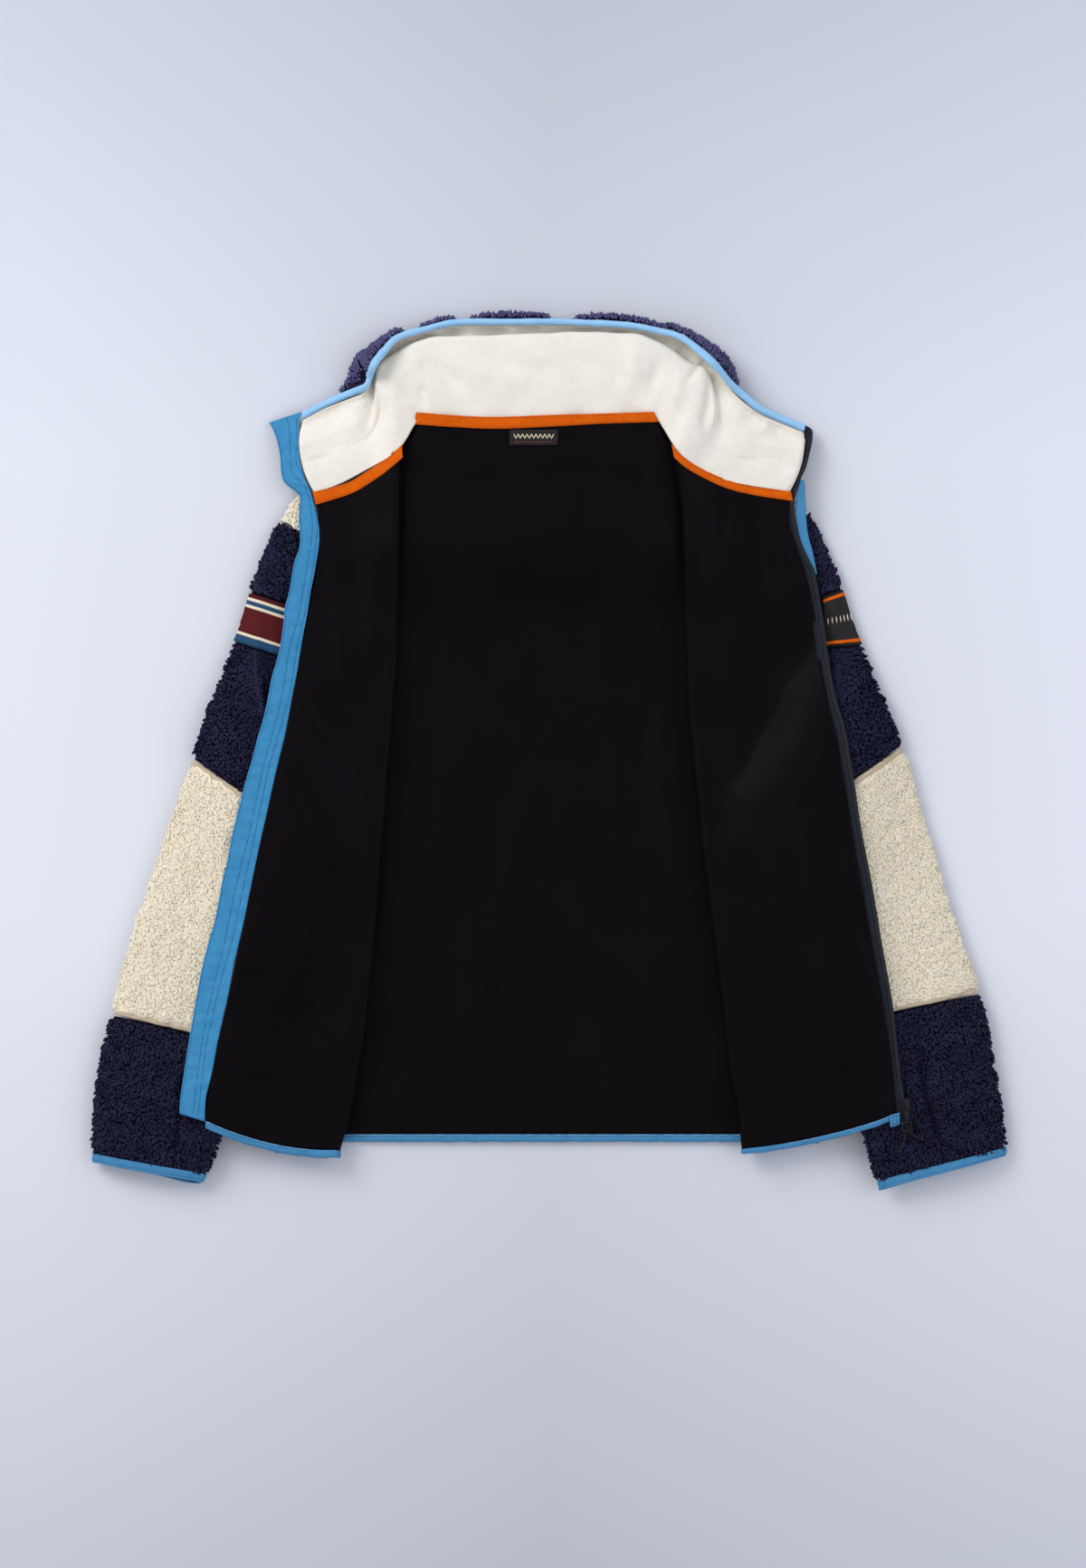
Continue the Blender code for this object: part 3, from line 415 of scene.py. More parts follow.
def add_piece(name, points, faces, material, nodes=()):
    points = (np.asarray(points, float) + SHIFT) * MM
    points[:, 2] = np.maximum(points[:, 2], LOWEST * MM)            # nothing sinks into the surface
    mesh = bpy.data.meshes.new(name)
    mesh.from_pydata(points.tolist(), [], faces.tolist() if isinstance(faces, np.ndarray) else faces)
    mesh.update()
    mesh.shade_smooth()
    for finish in material if isinstance(material, list) else [material]:
        mesh.materials.append(finish)
    piece = bpy.data.objects.new(name, mesh)
    bpy.context.scene.collection.objects.link(piece)
    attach(piece, "root")
    if nodes:
        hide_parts(*nodes)
    return piece


def outward(points, faces):
    """The four-cornered faces, turned over if the closed shape they make is inside out."""
    volume = 0.0
    for corners in ([0, 1, 2], [0, 2, 3]):
        p = points[faces[:, corners]]
        volume += np.einsum("ij,ij->i", p[:, 0], np.cross(p[:, 1], p[:, 2])).sum()
    return faces[:, ::-1] if volume < 0 else faces


def shell(name, top, bottom, material, nodes=()):
    """A closed thin sheet between two open grids."""
    n, m = top.shape[:2]
    points = np.concatenate([top.reshape(-1, 3), bottom.reshape(-1, 3)])
    o = n * m
    edge = np.concatenate([np.arange(m), np.arange(1, n) * m + m - 1,
                           (n - 1) * m + np.arange(m - 2, -1, -1), np.arange(n - 2, 0, -1) * m])
    after = np.roll(edge, -1)
    faces = np.concatenate([quads(n, m), quads(n, m, start=o)[:, ::-1],
                            np.stack([after, edge, edge + o, after + o], -1)])
    return add_piece(name, points, outward(points, faces), material, nodes)


def ring_shell(name, outer, inner, material, slot, nodes=()):
    """A closed tube wall between two grids whose rows are rings."""
    n, m = outer.shape[:2]
    points = np.concatenate([outer.reshape(-1, 3), inner.reshape(-1, 3)])
    o = n * m
    j = np.arange(m)
    k = (j + 1) % m
    last = (n - 1) * m
    faces = np.concatenate([quads(n, m, True), quads(n, m, True, o)[:, ::-1],
                            np.stack([k, j, o + j, o + k], -1),
                            np.stack([last + j, last + k, o + last + k, o + last + j], -1)])
    return add_piece(name, points, outward(points, faces), material, nodes)


def sweep(name, edge, profile, side_dir, up_dir, material, nodes=()):
    """A solid strip: a closed profile (side, up) carried along a line."""
    edge = np.asarray(edge, float)
    n, m = len(edge), profile.shape[-2]
    side_dir, up_dir = np.broadcast_to(side_dir, edge.shape), np.broadcast_to(up_dir, edge.shape)
    profile = np.broadcast_to(profile, (n, m, 2))
    points = (edge[:, None] + side_dir[:, None] * profile[..., :1] + up_dir[:, None] * profile[..., 1:]).reshape(-1, 3)
    body = outward(points, quads(n, m, True))
    flipped = body[0, 1] != 1
    caps = [list(range(m)), list(range((n - 1) * m, n * m))]
    caps[1 if flipped else 0].reverse()
    return add_piece(name, points, body.tolist() + caps, material, nodes)


def cut_sheet(piece, grid, with_pieces=(), wrap=False):
    """State the piece's flat cut, worked out from the smooth surface it was made on."""
    g = np.asarray(grid, float) * MM
    rows = np.concatenate([g, g[:, :1]], axis=1) if wrap else g
    width = np.linalg.norm(np.diff(rows, axis=1), axis=2).sum(axis=1).max()
    length = np.linalg.norm(np.diff(g, axis=0), axis=2).sum(axis=0).max()
    a, b, c, d = rows[:-1, :-1], rows[:-1, 1:], rows[1:, 1:], rows[1:, :-1]
    area = 0.5 * (np.linalg.norm(np.cross(b - a, c - a), axis=2) + np.linalg.norm(np.cross(c - a, d - a), axis=2)).sum()
    area = float(min(area, width * length))
    print(f"{piece.name}: cut {width * 1000:.0f} x {length * 1000:.0f} mm, {area * 1e4:.0f} cm2, "
          f"{len(piece.data.polygons)} faces")
    return piece


def waves(points, size, seed, count=14):
    """A soft random height between -1 and 1, with swells about `size` mm wide."""
    r = np.random.default_rng(seed)
    out = np.zeros(points.shape[:-1])
    for _ in range(count):
        way = unit(r.normal(size=3))[:points.shape[-1]] * 2 * math.pi / (size * r.uniform(0.75, 1.6))
        out += np.sin(points @ way + r.uniform(0, 6.3))
    return out / math.sqrt(count)


def creases(x, y, table):
    """Ridges and valleys: each row is (height, half width, (u, v), (u, v), ...) in picture pixels."""
    out = np.zeros(np.shape(x))
    for height, half, *points in table:
        line = spots(*points)
        best = np.full(np.shape(x), 1e9)
        share = np.zeros(np.shape(x))
        run = run_along(line)
        for k in range(len(line) - 1):
            a, d = line[k], line[k + 1] - line[k]
            f = np.clip(((x - a[0]) * d[0] + (y - a[1]) * d[1]) / (d @ d), 0, 1)
            gap = np.hypot(x - a[0] - d[0] * f, y - a[1] - d[1] * f)
            share = np.where(gap < best, (run[k] + f * math.sqrt(d @ d)) / run[-1], share)
            best = np.minimum(best, gap)
        out += height * np.exp(-(best / half) ** 2) * np.sin(math.pi * np.clip(share, 0.04, 0.96)) ** 0.6
    return out


print("piece tools ready")

# %% [markdown]
# ## Surface and light
# The jacket lies on a pale blue-grey surface.  Its colour is painted brighter across the
# middle and at the sides and a little greyer above and below, as the light falls on it,
# and painted lighter just below the hems to thin the jacket's shadow there.  The light is
# soft all round with a large window-like source at the upper left, so folds show and
# shadows hardly do.

# %% Surface
surface, tree, shader = new_finish("pale surface", {"Roughness": 0.9, "Specular IOR Level": 0.1})
place = node(tree, "ShaderNodeTexCoord").outputs["Object"]
split = node(tree, "ShaderNodeSeparateXYZ", {"Vector": place})
upward = node(tree, "ShaderNodeMapRange", {"Value": split.outputs["Y"], "From Min": -0.80, "From Max": 0.75})
ramp = node(tree, "ShaderNodeValToRGB", {"Fac": upward.outputs["Result"]})
# painted light: the colours rise to a bright band across the middle, and the stop just below the hems is lighter to
# thin the jacket's shadow
for k, (at, colour) in enumerate([(0.0, (0.505, 0.53, 0.602)), (0.19, (0.59, 0.61, 0.672)), (0.42, (0.655, 0.68, 0.76)),
                                  (0.70, (0.63, 0.66, 0.74)), (1.0, (0.475, 0.512, 0.583))]):
    stop = ramp.color_ramp.elements[k] if k < 2 else ramp.color_ramp.elements.new(at)
    stop.position, stop.color = at, rgba(colour)
# painted light: the surface is painted up to 16% brighter towards the sides
sideways = node(tree, "ShaderNodeMath", {0: split.outputs["X"]}, operation="ABSOLUTE")
brighter = node(tree, "ShaderNodeMapRange", {"Value": sideways.outputs["Value"], "From Max": 0.5, "To Min": 1.0,
                                             "To Max": 1.16})
spread = node(tree, "ShaderNodeVectorMath", {"Vector": ramp.outputs["Color"], "Scale": brighter.outputs["Result"]},
              operation="SCALE")
tree.links.new(spread.outputs["Vector"], shader.inputs["Base Color"])
mesh = bpy.data.meshes.new("surface")
mesh.from_pydata([(-5, -5, 0), (5, -5, 0), (5, 5, 0), (-5, 5, 0)], [], [(0, 1, 2, 3)])
mesh.materials.append(surface)
table_top = bpy.data.objects.new("surface", mesh)
table_top.location.z = -0.0002
bpy.context.scene.collection.objects.link(table_top)
table_top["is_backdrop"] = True
print("surface", table_top.name, "with", len(ramp.color_ramp.elements), "colours")

# %% Light
world = bpy.data.worlds.new("soft room")
bpy.context.scene.world = world
world.use_nodes = True
sky = world.node_tree.nodes["Background"].inputs
sky["Color"].default_value, sky["Strength"].default_value = (0.95, 0.965, 1.0, 1), 0.66


def window(name, where, size, power, colour=(1, 1, 1)):
    light = bpy.data.lights.new(name, "AREA")
    light.shape, light.size, light.energy, light.color = "SQUARE", size, power, colour
    lamp = bpy.data.objects.new(name, light)
    lamp.location = where
    lamp.rotation_mode = "QUATERNION"
    lamp.rotation_quaternion = Vector(where).to_track_quat("Z", "Y")
    bpy.context.scene.collection.objects.link(lamp)


window("window upper left", (-2.6, 2.4, 2.6), 2.4, 104, (1.0, 0.975, 0.94))
window("fill right", (3.0, 0.6, 2.6), 2.4, 25, (0.92, 0.95, 1.0))

# %% [markdown]
# ## Heights of the layers
# From the surface up: back panel, the lower half of each front, the sleeves, then the
# folded-open flaps that drape over the sleeves.  The hood's pouch is tucked under the
# upper back and lifts it.  These numbers and rules are the CAD part's own.

# %% Layer heights
GAP, SHERPA, LINING, FLEECE = 0.3, 4.0, 1.0, 1.5
Z_BACK, Z_FRONT, FOLD_RADIUS = SHERPA, 10.0, 5.5
Z_SEAM = SHERPA + 2 * GAP + LINING + GAP + LINING
Z_FLAP = Z_FRONT + 2 * FOLD_RADIUS
SLEEVE_LIFT, POUCH_LIFT = 15.2, 18.5
SIDES = ("right", "left")


def pouch_lift(x, y):
    wide = 1 - smooth((np.abs(np.asarray(x) + 12) - 112) / 75)
    return POUCH_LIFT * wide * smooth((np.asarray(y) - 118) / 88)


print("flap height", Z_FLAP, "mm")

# %% [markdown]
# ## Sleeve shape
# A sleeve is a flattened tube: navy at the shoulder, cream in the middle, navy again
# down to the cuff.  Its rings run from the armhole, under the opened front, to the
# cuff.  Each ring has a place for its inner and outer edge, a height, and a share of
# the climb over the body's side seam.

# %% Sleeve rings
ARM_T = (0.0, 0.12, 0.30, 0.50, 0.70, 0.88, 1.0)
ARMHOLE = {
    "right": [(-281, 6), (-268, 34), (-253, 74), (-241, 120), (-234, 166), (-237, 205), (-259, 219)],
    "left": [(273, 6), (262, 34), (249, 74), (239, 120), (232, 166), (233, 206), (247, 226)],
}
# columns: inner x, inner y, outer x, outer y, height, share of the lift over the body
SLEEVE = {
    "right": [
        (-281, 6, -259, 219, 11.0, 0.0), (-284, -12, -267, 198, 13.0, 0.7),
        (-277, -28, -280, 168, 14.5, 1.0), (-250, -42, -295, 122, 15.5, 1.0),
        (-217, -54, -313, 74, 16.0, 1.0), (-203, -76, -329, 33, 16.5, 1.0),
        (-204, -99, -342, -8, 17.0, 1.0), (-212, -124, -360, -60, 17.5, 1.0),
        (-227, -158, -378, -112, 18.0, 1.0), (-251, -212, -398, -172, 19.0, 1.0),
        (-279, -286, -420, -253, 20.0, 1.0), (-304, -347, -433, -317, 20.0, 1.0),
        (-327, -406, -438, -386, 18.0, 1.0), (-330, -414.5, -436, -395, 17.0, 1.0),
    ],
    "left": [
        (273, 6, 247, 226, 11.0, 0.0), (278, -12, 259, 202, 13.0, 0.7),
        (272, -28, 274, 170, 14.5, 1.0), (246, -42, 291, 120, 15.5, 1.0),
        (214, -54, 308, 78, 16.0, 1.0), (198, -70, 324, 40, 16.5, 1.0),
        (197, -92, 339, 5, 17.0, 1.0), (207, -118, 355, -53, 17.5, 1.0),
        (221, -150, 372, -112, 18.0, 1.0), (243, -207, 391, -172, 19.0, 1.0),
        (268, -264, 412, -233, 20.0, 1.0), (292, -343, 427, -307, 20.0, 1.0),
        (313, -412, 438, -380, 18.0, 1.0), (318, -421, 436, -389, 17.0, 1.0),
    ],
}
SIDE_X = {"right": -274.0, "left": 268.0}
RINGS, RING_POINTS = 14, 12
RING_HALF = (0.0, 0.80, 1.0, 1.0, 1.0, 0.80, 0.0)
RING_OUT = (1.0, 0.45, 0.0, 0.0, 0.0, 0.45, 1.0)


def armhole_x(side, y):
    a = np.array(ARMHOLE[side], float)
    if y <= a[0, 1]:
        return SIDE_X[side] if y < a[0, 1] - 10 else a[0, 0] + (SIDE_X[side] - a[0, 0]) * (a[0, 1] - y) / 10
    return float(np.interp(y, a[:, 1], a[:, 0]))


def sleeve_lift(side, x, y, share):
    depth = (x - armhole_x(side, y)) * (1 if side == "right" else -1)
    return share * SLEEVE_LIFT * float(smooth((depth + 72) / 48) * smooth((88 - y) / 58))


def sleeve_ring(side, ring, shrink=0.0):
    """Twelve points of one ring: across the bottom, round the outer edge, back over the top."""
    ix, iy, ox, oy, height, share = SLEEVE[side][ring]
    inner, outer = np.array([ix, iy], float), np.array([ox, oy], float)
    across = unit(outer - inner)
    points = []
    for top in (False, True):
        for k in range(7) if not top else range(5, 0, -1):
            if ring == 0:
                plan = np.array(ARMHOLE[side][k], float) + (0.5 if side == "left" else -0.5, 0.0)
            else:
                plan = inner + (outer - inner) * ARM_T[k]
            lift = sleeve_lift(side, plan[0], plan[1], share)
            plan = plan - across * RING_OUT[k] * (-1 if k < 3 else 1) * shrink
            half = height / 2 * RING_HALF[k]
            crown = 3.5 * (1 - (2 * ARM_T[k] - 1) ** 2) if top and ring else 0.0
            z = lift + height / 2
            if half:
                z += (1 if top else -1) * (half - shrink * math.sqrt(1 - RING_OUT[k] ** 2)) + crown
            points.append((plan[0], plan[1], z))
    return points


sleeve_rings = {side: np.array([sleeve_ring(side, r) for r in range(RINGS)]) for side in SIDES}
print("sleeve rings", sleeve_rings["left"].shape)

# %% [markdown]
# ## Curly pile
# The outside cloth is knitted pile whose yarn ends curl into small locks about 3 mm
# wide.  A bump alone leaves the outline smooth, so the locks that show are modelled:
# thousands of short bent cones joined into one mesh, standing on the cloth in loose
# rows, leaning down the sleeve, each a little different.  Underneath, where nothing
# shows and the weight presses, they are short and sparse.

# %% Pile locks
LOCK_RINGS = ((0.0, 1.0), (0.45, 1.16), (0.82, 0.82))          # height share, width share


def pile_locks(name, grid, facing, spacing, length, width, lean, material, seed, wrap=False, keep=None,
               floor=0.3):
    """Short bent cones over a grid: rows `spacing` mm apart, leaning along `lean`."""
    r = np.random.default_rng(seed)
    rows, cols = grid.shape[:2]
    mid = grid[:, cols // 4]
    run = run_along(mid)
    at_row, at_col = [], []
    for s in np.arange(spacing / 2, run[-1], spacing * 0.87):
        row = np.interp(s, run, np.arange(rows))
        line = grid[int(round(row))]
        line = np.concatenate([line, line[:1]]) if wrap else line
        girth = run_along(line)
        spots_along = np.arange(r.uniform(0, spacing), girth[-1], spacing)
        spots_along = spots_along + r.uniform(-0.33, 0.33, len(spots_along)) * spacing
        at_col.append(np.interp(spots_along, girth, np.arange(len(line))))
        at_row.append(np.full(len(spots_along), row) + r.uniform(-0.33, 0.33, len(spots_along)) * spacing
                      * rows / max(run[-1], 1e-6))
    a, b = np.clip(np.concatenate(at_row), 0, rows - 1.001), np.concatenate(at_col)
    b = b % cols if wrap else np.clip(b, 0, cols - 1.001)
    i, j = a.astype(int), b.astype(int)
    k = (j + 1) % cols
    fa, fb = (a - i)[:, None], (b - j)[:, None]

    def pick(field):
        return ((field[i, j] * (1 - fb) + field[i, k] * fb) * (1 - fa)
                + (field[i + 1, j] * (1 - fb) + field[i + 1, k] * fb) * fa)

    root, out = pick(grid), unit(pick(facing))
    size = np.ones(len(root)) if keep is None else keep(root, out)
    chosen = size > 0.05
    root, out, size = root[chosen], out[chosen], size[chosen]
    n = len(root)
    size = size * r.uniform(0.75, 1.2, n)
    lean = lean(root) if callable(lean) else np.broadcast_to(np.asarray(lean, float), root.shape)
    curl = np.stack([waves(root, 5.5, seed + k, 6) for k in range(3)], 1) * 0.24
    tilt = unit(out + (lean + curl + r.normal(0, 0.14, (n, 3))) * 0.62)
    side = unit(np.cross(tilt, out + r.normal(0, 0.4, (n, 3))))
    other = np.cross(tilt, side)
    bend = r.normal(0, 0.30, (n, 1)) * side + r.uniform(0.05, 0.45, (n, 1)) * unit(lean + 1e-6)
    tall, wide = (length * size)[:, None], (width * np.sqrt(size) * r.uniform(0.85, 1.15, n))[:, None]
    points = []
    for share, girth in LOCK_RINGS:
        centre = root + tilt * tall * share + bend * tall * share ** 2
        for q in range(3):
            ang = q * 2 * math.pi / 3
            points.append(centre + (side * math.cos(ang) + other * math.sin(ang) * 0.8) * wide * girth)
    points.append(root + tilt * tall + bend * tall * 1.15)
    points = np.stack(points, 1)
    points[..., 2] = np.maximum(points[..., 2], floor)
    template = []
    for ring in range(2):
        for q in range(3):
            p, s = ring * 3 + q, ring * 3 + (q + 1) % 3
            template += [(p, s, s + 3), (p, s + 3, p + 3)]
    template += [(6 + q, 6 + (q + 1) % 3, 9) for q in range(3)] + [(0, 2, 1)]
    faces = (np.array(template)[None] + (np.arange(n) * 10)[:, None, None]).reshape(-1, 3)
    piece = add_piece(name, points.reshape(-1, 3), faces, material)
    # the lower ring and base take the root finish and the upper ring and tip take the lighter tip finish: painted
    # highlight on the tips, painted shade at the roots
    piece.data.polygons.foreach_set("material_index", np.tile([0] * 6 + [1] * 9 + [0], n))
    print(f"{name}: {n} locks, {len(faces)} triangles")
    return piece


# %% [markdown]
# ## Sleeves
# Each sleeve is three tubes of pile sewn end to end, plus the tape round the cuff.  The
# cloth under the locks is a thin wall with soft lumps and the few creases that the
# picture shows.  Beside a seam the pile dips, because the seam holds it down.

# %% Sleeve creases
SLEEVE_CREASES = {
    "right": [(-2.6, 5, (205, 1180), (200, 1235), (192, 1290)), (-1.6, 4, (192, 1262), (170, 1270)),
              (1.4, 9, (150, 1010), (215, 1060)), (-1.2, 7, (180, 900), (235, 950)), (1.2, 10, (285, 560), (300, 640))],
    "left": [(-3.0, 5, (1012, 1160), (1022, 1215), (1038, 1262), (1042, 1280)),
             (-2.2, 4, (1040, 1262), (1062, 1272), (1075, 1282)), (1.6, 8, (1050, 1270), (1085, 1262)),
             (-1.4, 8, (1000, 880), (1045, 940)), (1.5, 9, (990, 1130), (1010, 1190)),
             (-1.2, 6, (900, 600), (935, 650))],
}
SEAM_UPPER, SEAM_LOWER, CUFF = 6, 10, 12
AROUND = 48


def ring_grid(side, t, shrink, cols):
    """Rings of a sleeve at the places t, each of `cols` points, drawn in by `shrink` mm."""
    rings = np.array([sleeve_ring(side, k, shrink) for k in range(RINGS)])
    around = np.arange(cols) * RING_POINTS / cols
    return np.swapaxes(cubic(np.swapaxes(cubic(rings, t), 0, 1), around, True), 0, 1)


def ring_normals(rings):
    """Outward directions on a sleeve's rings."""
    facing = normals(rings, True)
    return -facing if facing[len(rings) // 2, 3 * rings.shape[1] // 4, 2] < 0 else facing


def sleeve_wall(side, first, last, count, shrink, seam_dip=2.2):
    """Rings of one sleeve piece between two seams, drawn in by `shrink` and dipping at the seams."""
    t = np.linspace(first + (0.012 if first else 0), last - 0.012, count)
    outer, drawn = ring_grid(side, t, 0.0, AROUND), ring_grid(side, t, SHERPA, AROUND)
    run = run_along(outer[:, 3 * AROUND // 4])
    dip = seam_dip * ((0.25 if first == 0 else 1.0) * np.exp(-(run / 3.5) ** 2) + np.exp(-((run[-1] - run) / 3.5) ** 2))
    share = np.clip((shrink + dip) / SHERPA, 0, 1)[:, None, None]
    return outer + (drawn - outer) * share


PIECES = (("upper", 0, SEAM_UPPER, 52, NAVY, "navy_pile"), ("mid", SEAM_UPPER, SEAM_LOWER, 50, CREAM, "cream_pile"),
          ("lower", SEAM_LOWER, CUFF, 40, NAVY, "navy_pile"))
# where the flap's edge covers the sleeve: x at each y
COVER = {"right": [(-360, -322), (-105, -270), (12, -246), (128, -228), (212, -224), (240, -230)],
         "left": [(-360, 322), (-105, 284), (12, 266), (128, 246), (212, 228), (240, 230)]}


def uncovered(side, points):
    """1 where no flap lies on the sleeve, 0 well under the flap."""
    line = np.array(COVER[side], float)
    edge = np.interp(points[:, 1], line[:, 0], line[:, 1])
    inside = (points[:, 0] - edge) * (1 if side == "right" else -1)
    return (inside < 12) | (points[:, 1] < -352)


# corners in picture mm: lower inner, upper inner, lower outer, upper outer
PATCH = {"right": ((-247, 86.5), (-243, 136), (-297.5, 103), (-281.5, 148.5)),
         "left": ((263, 98), (262, 146), (302, 101), (286, 156))}


def patch_march(side, points, wrap=7.0, rows=9, steps=12):
    """Grid of points that walk over the sleeve from the patch's inner edge and on round the sleeve's outer edge."""
    cols = points.shape[1]
    faces = quads(*points.shape[:2], True)
    skin = BVHTree.FromPolygons(points.reshape(-1, 3).tolist(), [list(f) for f in faces])
    low_in, high_in, low_out, high_out = (np.array(c, float) for c in PATCH[side])
    sign = 1 if skin.ray_cast(Vector((*(low_in + high_out) / 2, 200.0)), Vector((0, 0, -1)))[1].z > 0 else -1
    grid = []
    for f in np.linspace(0, 1, rows):
        a, b = low_in + (high_in - low_in) * f, low_out + (high_out - low_out) * f
        across = Vector((*unit(b - a), 0.0)).cross(Vector((0, 0, 1)))
        at = skin.ray_cast(Vector((a[0], a[1], 200.0)), Vector((0, 0, -1)))[0] or Vector((a[0], a[1], 18.0))
        stride = (np.linalg.norm(b - a) * 1.04 + wrap) / steps
        row = []
        for _ in range(steps + 1):
            at, normal, *_rest = skin.find_nearest(at)
            at -= across * (at - Vector((*a, 0.0))).dot(across)
            normal = normal * sign
            row.append((*at, *normal))
            at = at + normal.cross(across).normalized() * stride
        grid.append(row)
    grid = refine(np.array(grid), 30, 40)
    return grid[..., :3], unit(grid[..., 3:])


def seam_band(outer, facing, row, way, width=5.4, rows=5):
    """Grid of a narrow tape over the top of a sleeve, beside the seam at one end of a piece."""
    half = AROUND // 2
    line, lift = outer[row, half - 2:], facing[row, half - 2:]
    along = np.linspace(0.4, width, rows)
    grid = np.stack([line + way * a for a in along])
    grid[..., 2] += np.interp(along, [0, 2, width], [1.6, 1.3, 0.9])[:, None]
    grid, lift = refine(grid, rows, 90), refine(np.repeat(lift[None], rows, 0), rows, 90)
    return grid, unit(lift)


sleeve_tops, patches, seam_tapes = {}, {}, {}
for side in SIDES:
    for part, first, last, count, material, slot in PIECES:
        outer = sleeve_wall(side, first, last, count, 0.8 if part == "mid" else 1.6)
        inner = sleeve_wall(side, first, last, count, 3.8, 0.0)
        facing = ring_normals(outer)
        top_side = smooth(facing[..., 2] * 2)
        if part == "upper":
            patches[side] = patch_march(side, outer)
            held = patches[side][0].reshape(-1, 3)
            bare = np.min([np.linalg.norm(outer - spot_held, axis=2) for spot_held in held[::3]], axis=0)
        lump = 0.8 * waves(outer, 13, 5) + 0.55 * waves(outer, 6.5, 6)
        lump = lump * (smooth((bare - 1) / 6) if part == "upper" else 1)
        crease = creases(outer[..., 0], outer[..., 1], SLEEVE_CREASES[side]) * top_side
        outer = outer + facing * lump[..., None] + UP * crease[..., None]
        outer[..., 2] = np.maximum(outer[..., 2], 0.4)
        sleeve_tops[side, part] = outer, facing
        down = unit(outer[-1].mean(axis=0) - outer[0].mean(axis=0))
        if part != "upper":
            tapes = [seam_band(outer, facing, 0, down), seam_band(outer, facing, -1, -down)]
            held = np.concatenate([band[0].reshape(-1, 3) for band in tapes])
            seam_tapes[side] = tapes if part == "mid" else seam_tapes[side]
        held_down = KDTree(len(held))
        for k, spot_held in enumerate(held):
            held_down.insert(spot_held, k)
        held_down.balance()
        wall = ring_shell(f"sleeve_{side}_{part}_cloth", outer, inner, material[0], slot, (f"sleeve_{side}_{part}",))

        def length_here(root, out):
            pressed = np.clip((root[:, 2] - 0.8) / 2.0, 0.25, 1.0)
            gap = {"upper": 2.4, "mid": 1.9, "lower": 0.0}[part]
            clear = np.array([held_down.find(r)[2] > gap for r in root])
            if part == "upper":
                beside = np.min(np.linalg.norm(root[:, None] - outer[-1, ::2][None], axis=2), axis=1)
                clear = clear * np.clip((beside - 0.6) / 6, 0.2, 1)
            deep = [(f[0], f[1] * 0.6, *f[2:]) for f in SLEEVE_CREASES[side] if f[0] < -2]
            dent = creases(root[:, 0], root[:, 1], deep)
            clear = clear * np.clip(1 + 0.28 * dent, 0.3, 1)
            return np.where(out[:, 2] < -0.35, 0.55 * pressed, 1.0) * clear

        def lean_here(root):
            """Down the sleeve, but upwards over the shoulder seam."""
            along = np.clip((root - outer[0].mean(axis=0)) @ down / 60 + 0.6, 0, 1)[:, None] if part == "upper" else 1.0
            return down * (-0.6 + 1.35 * along) - UP * 0.1

        locks = []
        for half, spacing, wanted in (("top", 2.75, 1), ("under", 6.0, -1)):
            def keep(root, out, wanted=wanted):
                on_half = out[:, 2] > -0.35 if wanted > 0 else out[:, 2] <= -0.35
                return length_here(root, out) * on_half * uncovered(side, root)
            tall, wide = (1.35, 2.7) if part == "mid" else (3.7, 1.9)
            locks.append(pile_locks(f"sleeve_{side}_{part}_pile_{half}", outer, facing, spacing, tall, wide,
                                    lean_here, material, 40 + first, True, keep))
        cut_sheet(wall, outer, locks, wrap=True)

# %% [markdown]
# ## Opened fronts
# Each front runs from the side seam to a fold, turns over in a soft roll and lies open
# with its black lining up.  The flap rests on whatever is below it: its height is the
# smooth upper envelope of the sleeve, the same rule as in the CAD part.  The folds of
# the thin lining are placed from the picture.

# %% Drape over the sleeves
envelope = {}
for side in SIDES:
    cloud = []
    for i in range(RINGS - 1):
        for f in (0.0, 0.2, 0.4, 0.6, 0.8):
            row = sleeve_rings[side][i] * (1 - f) + sleeve_rings[side][i + 1] * f
            for j in range(RING_POINTS // 2, RING_POINTS):
                p, q = row[j], row[(j + 1) % RING_POINTS]
                cloud += [p + (q - p) * g for g in (0.0, 0.2, 0.4, 0.6, 0.8)]
    envelope[side] = np.array(cloud)


def flap_z(side, x, y):
    """Height of the open flap's inner face over everything below it."""
    x, y = np.asarray(x, float), np.asarray(y, float)
    base = Z_FLAP + pouch_lift(x, y)
    over = np.full(x.shape, -1e9)
    for cx, cy, cz in envelope[side]:
        over = np.maximum(over, cz - 0.009 * ((cx - x) ** 2 + (cy - y) ** 2))
    over = over + SHERPA + 2.4
    return 0.5 * (base + over + np.sqrt((over - base) ** 2 + 9))


# columns: side seam or armhole x, y | fold x, y | centre front edge x, y
FRONT = {
    "right": [
        (-264, -379, -198, -384, -328, -354), (-266, -296, -179, -295, -319, -296),
        (-269, -209, -169, -214, -301, -214), (-273, -105, -160, -105, -279, -105), (-275, -62, -156, -60, -269, -60),
        (-277, -26, -153, -19, -260, -19), (-281, 6, -150, 12, -252, 12), (-268, 34, -148, 44, -246, 44),
        (-253, 74, -145, 84, -239, 84), (-241, 120, -144, 128, -230, 128), (-234, 166, -143, 178, -222, 172),
        (-237, 205, -142, 235, -219, 212), (-236, 208, -142, 285.5, -225, 244),
    ],
    "left": [
        (258, -371, 186, -382, 331, -347), (260, -296, 171, -296, 326, -293), (263, -209, 161, -209, 312, -209),
        (266, -105, 147, -105, 293, -105), (268, -62, 142, -60, 286, -60), (269, -26, 138, -19, 279, -19),
        (273, 6, 135, 12, 274, 12), (262, 34, 132, 44, 266, 44), (249, 74, 130, 84, 259, 84),
        (239, 120, 129, 128, 253.5, 128), (232, 166, 128, 178, 244, 172), (233, 206, 126, 235, 230.5, 212),
        (233, 209, 118, 283.5, 228.5, 245),
    ],
}
HEM_SAG = {"right": -8.0, "left": -5.0}
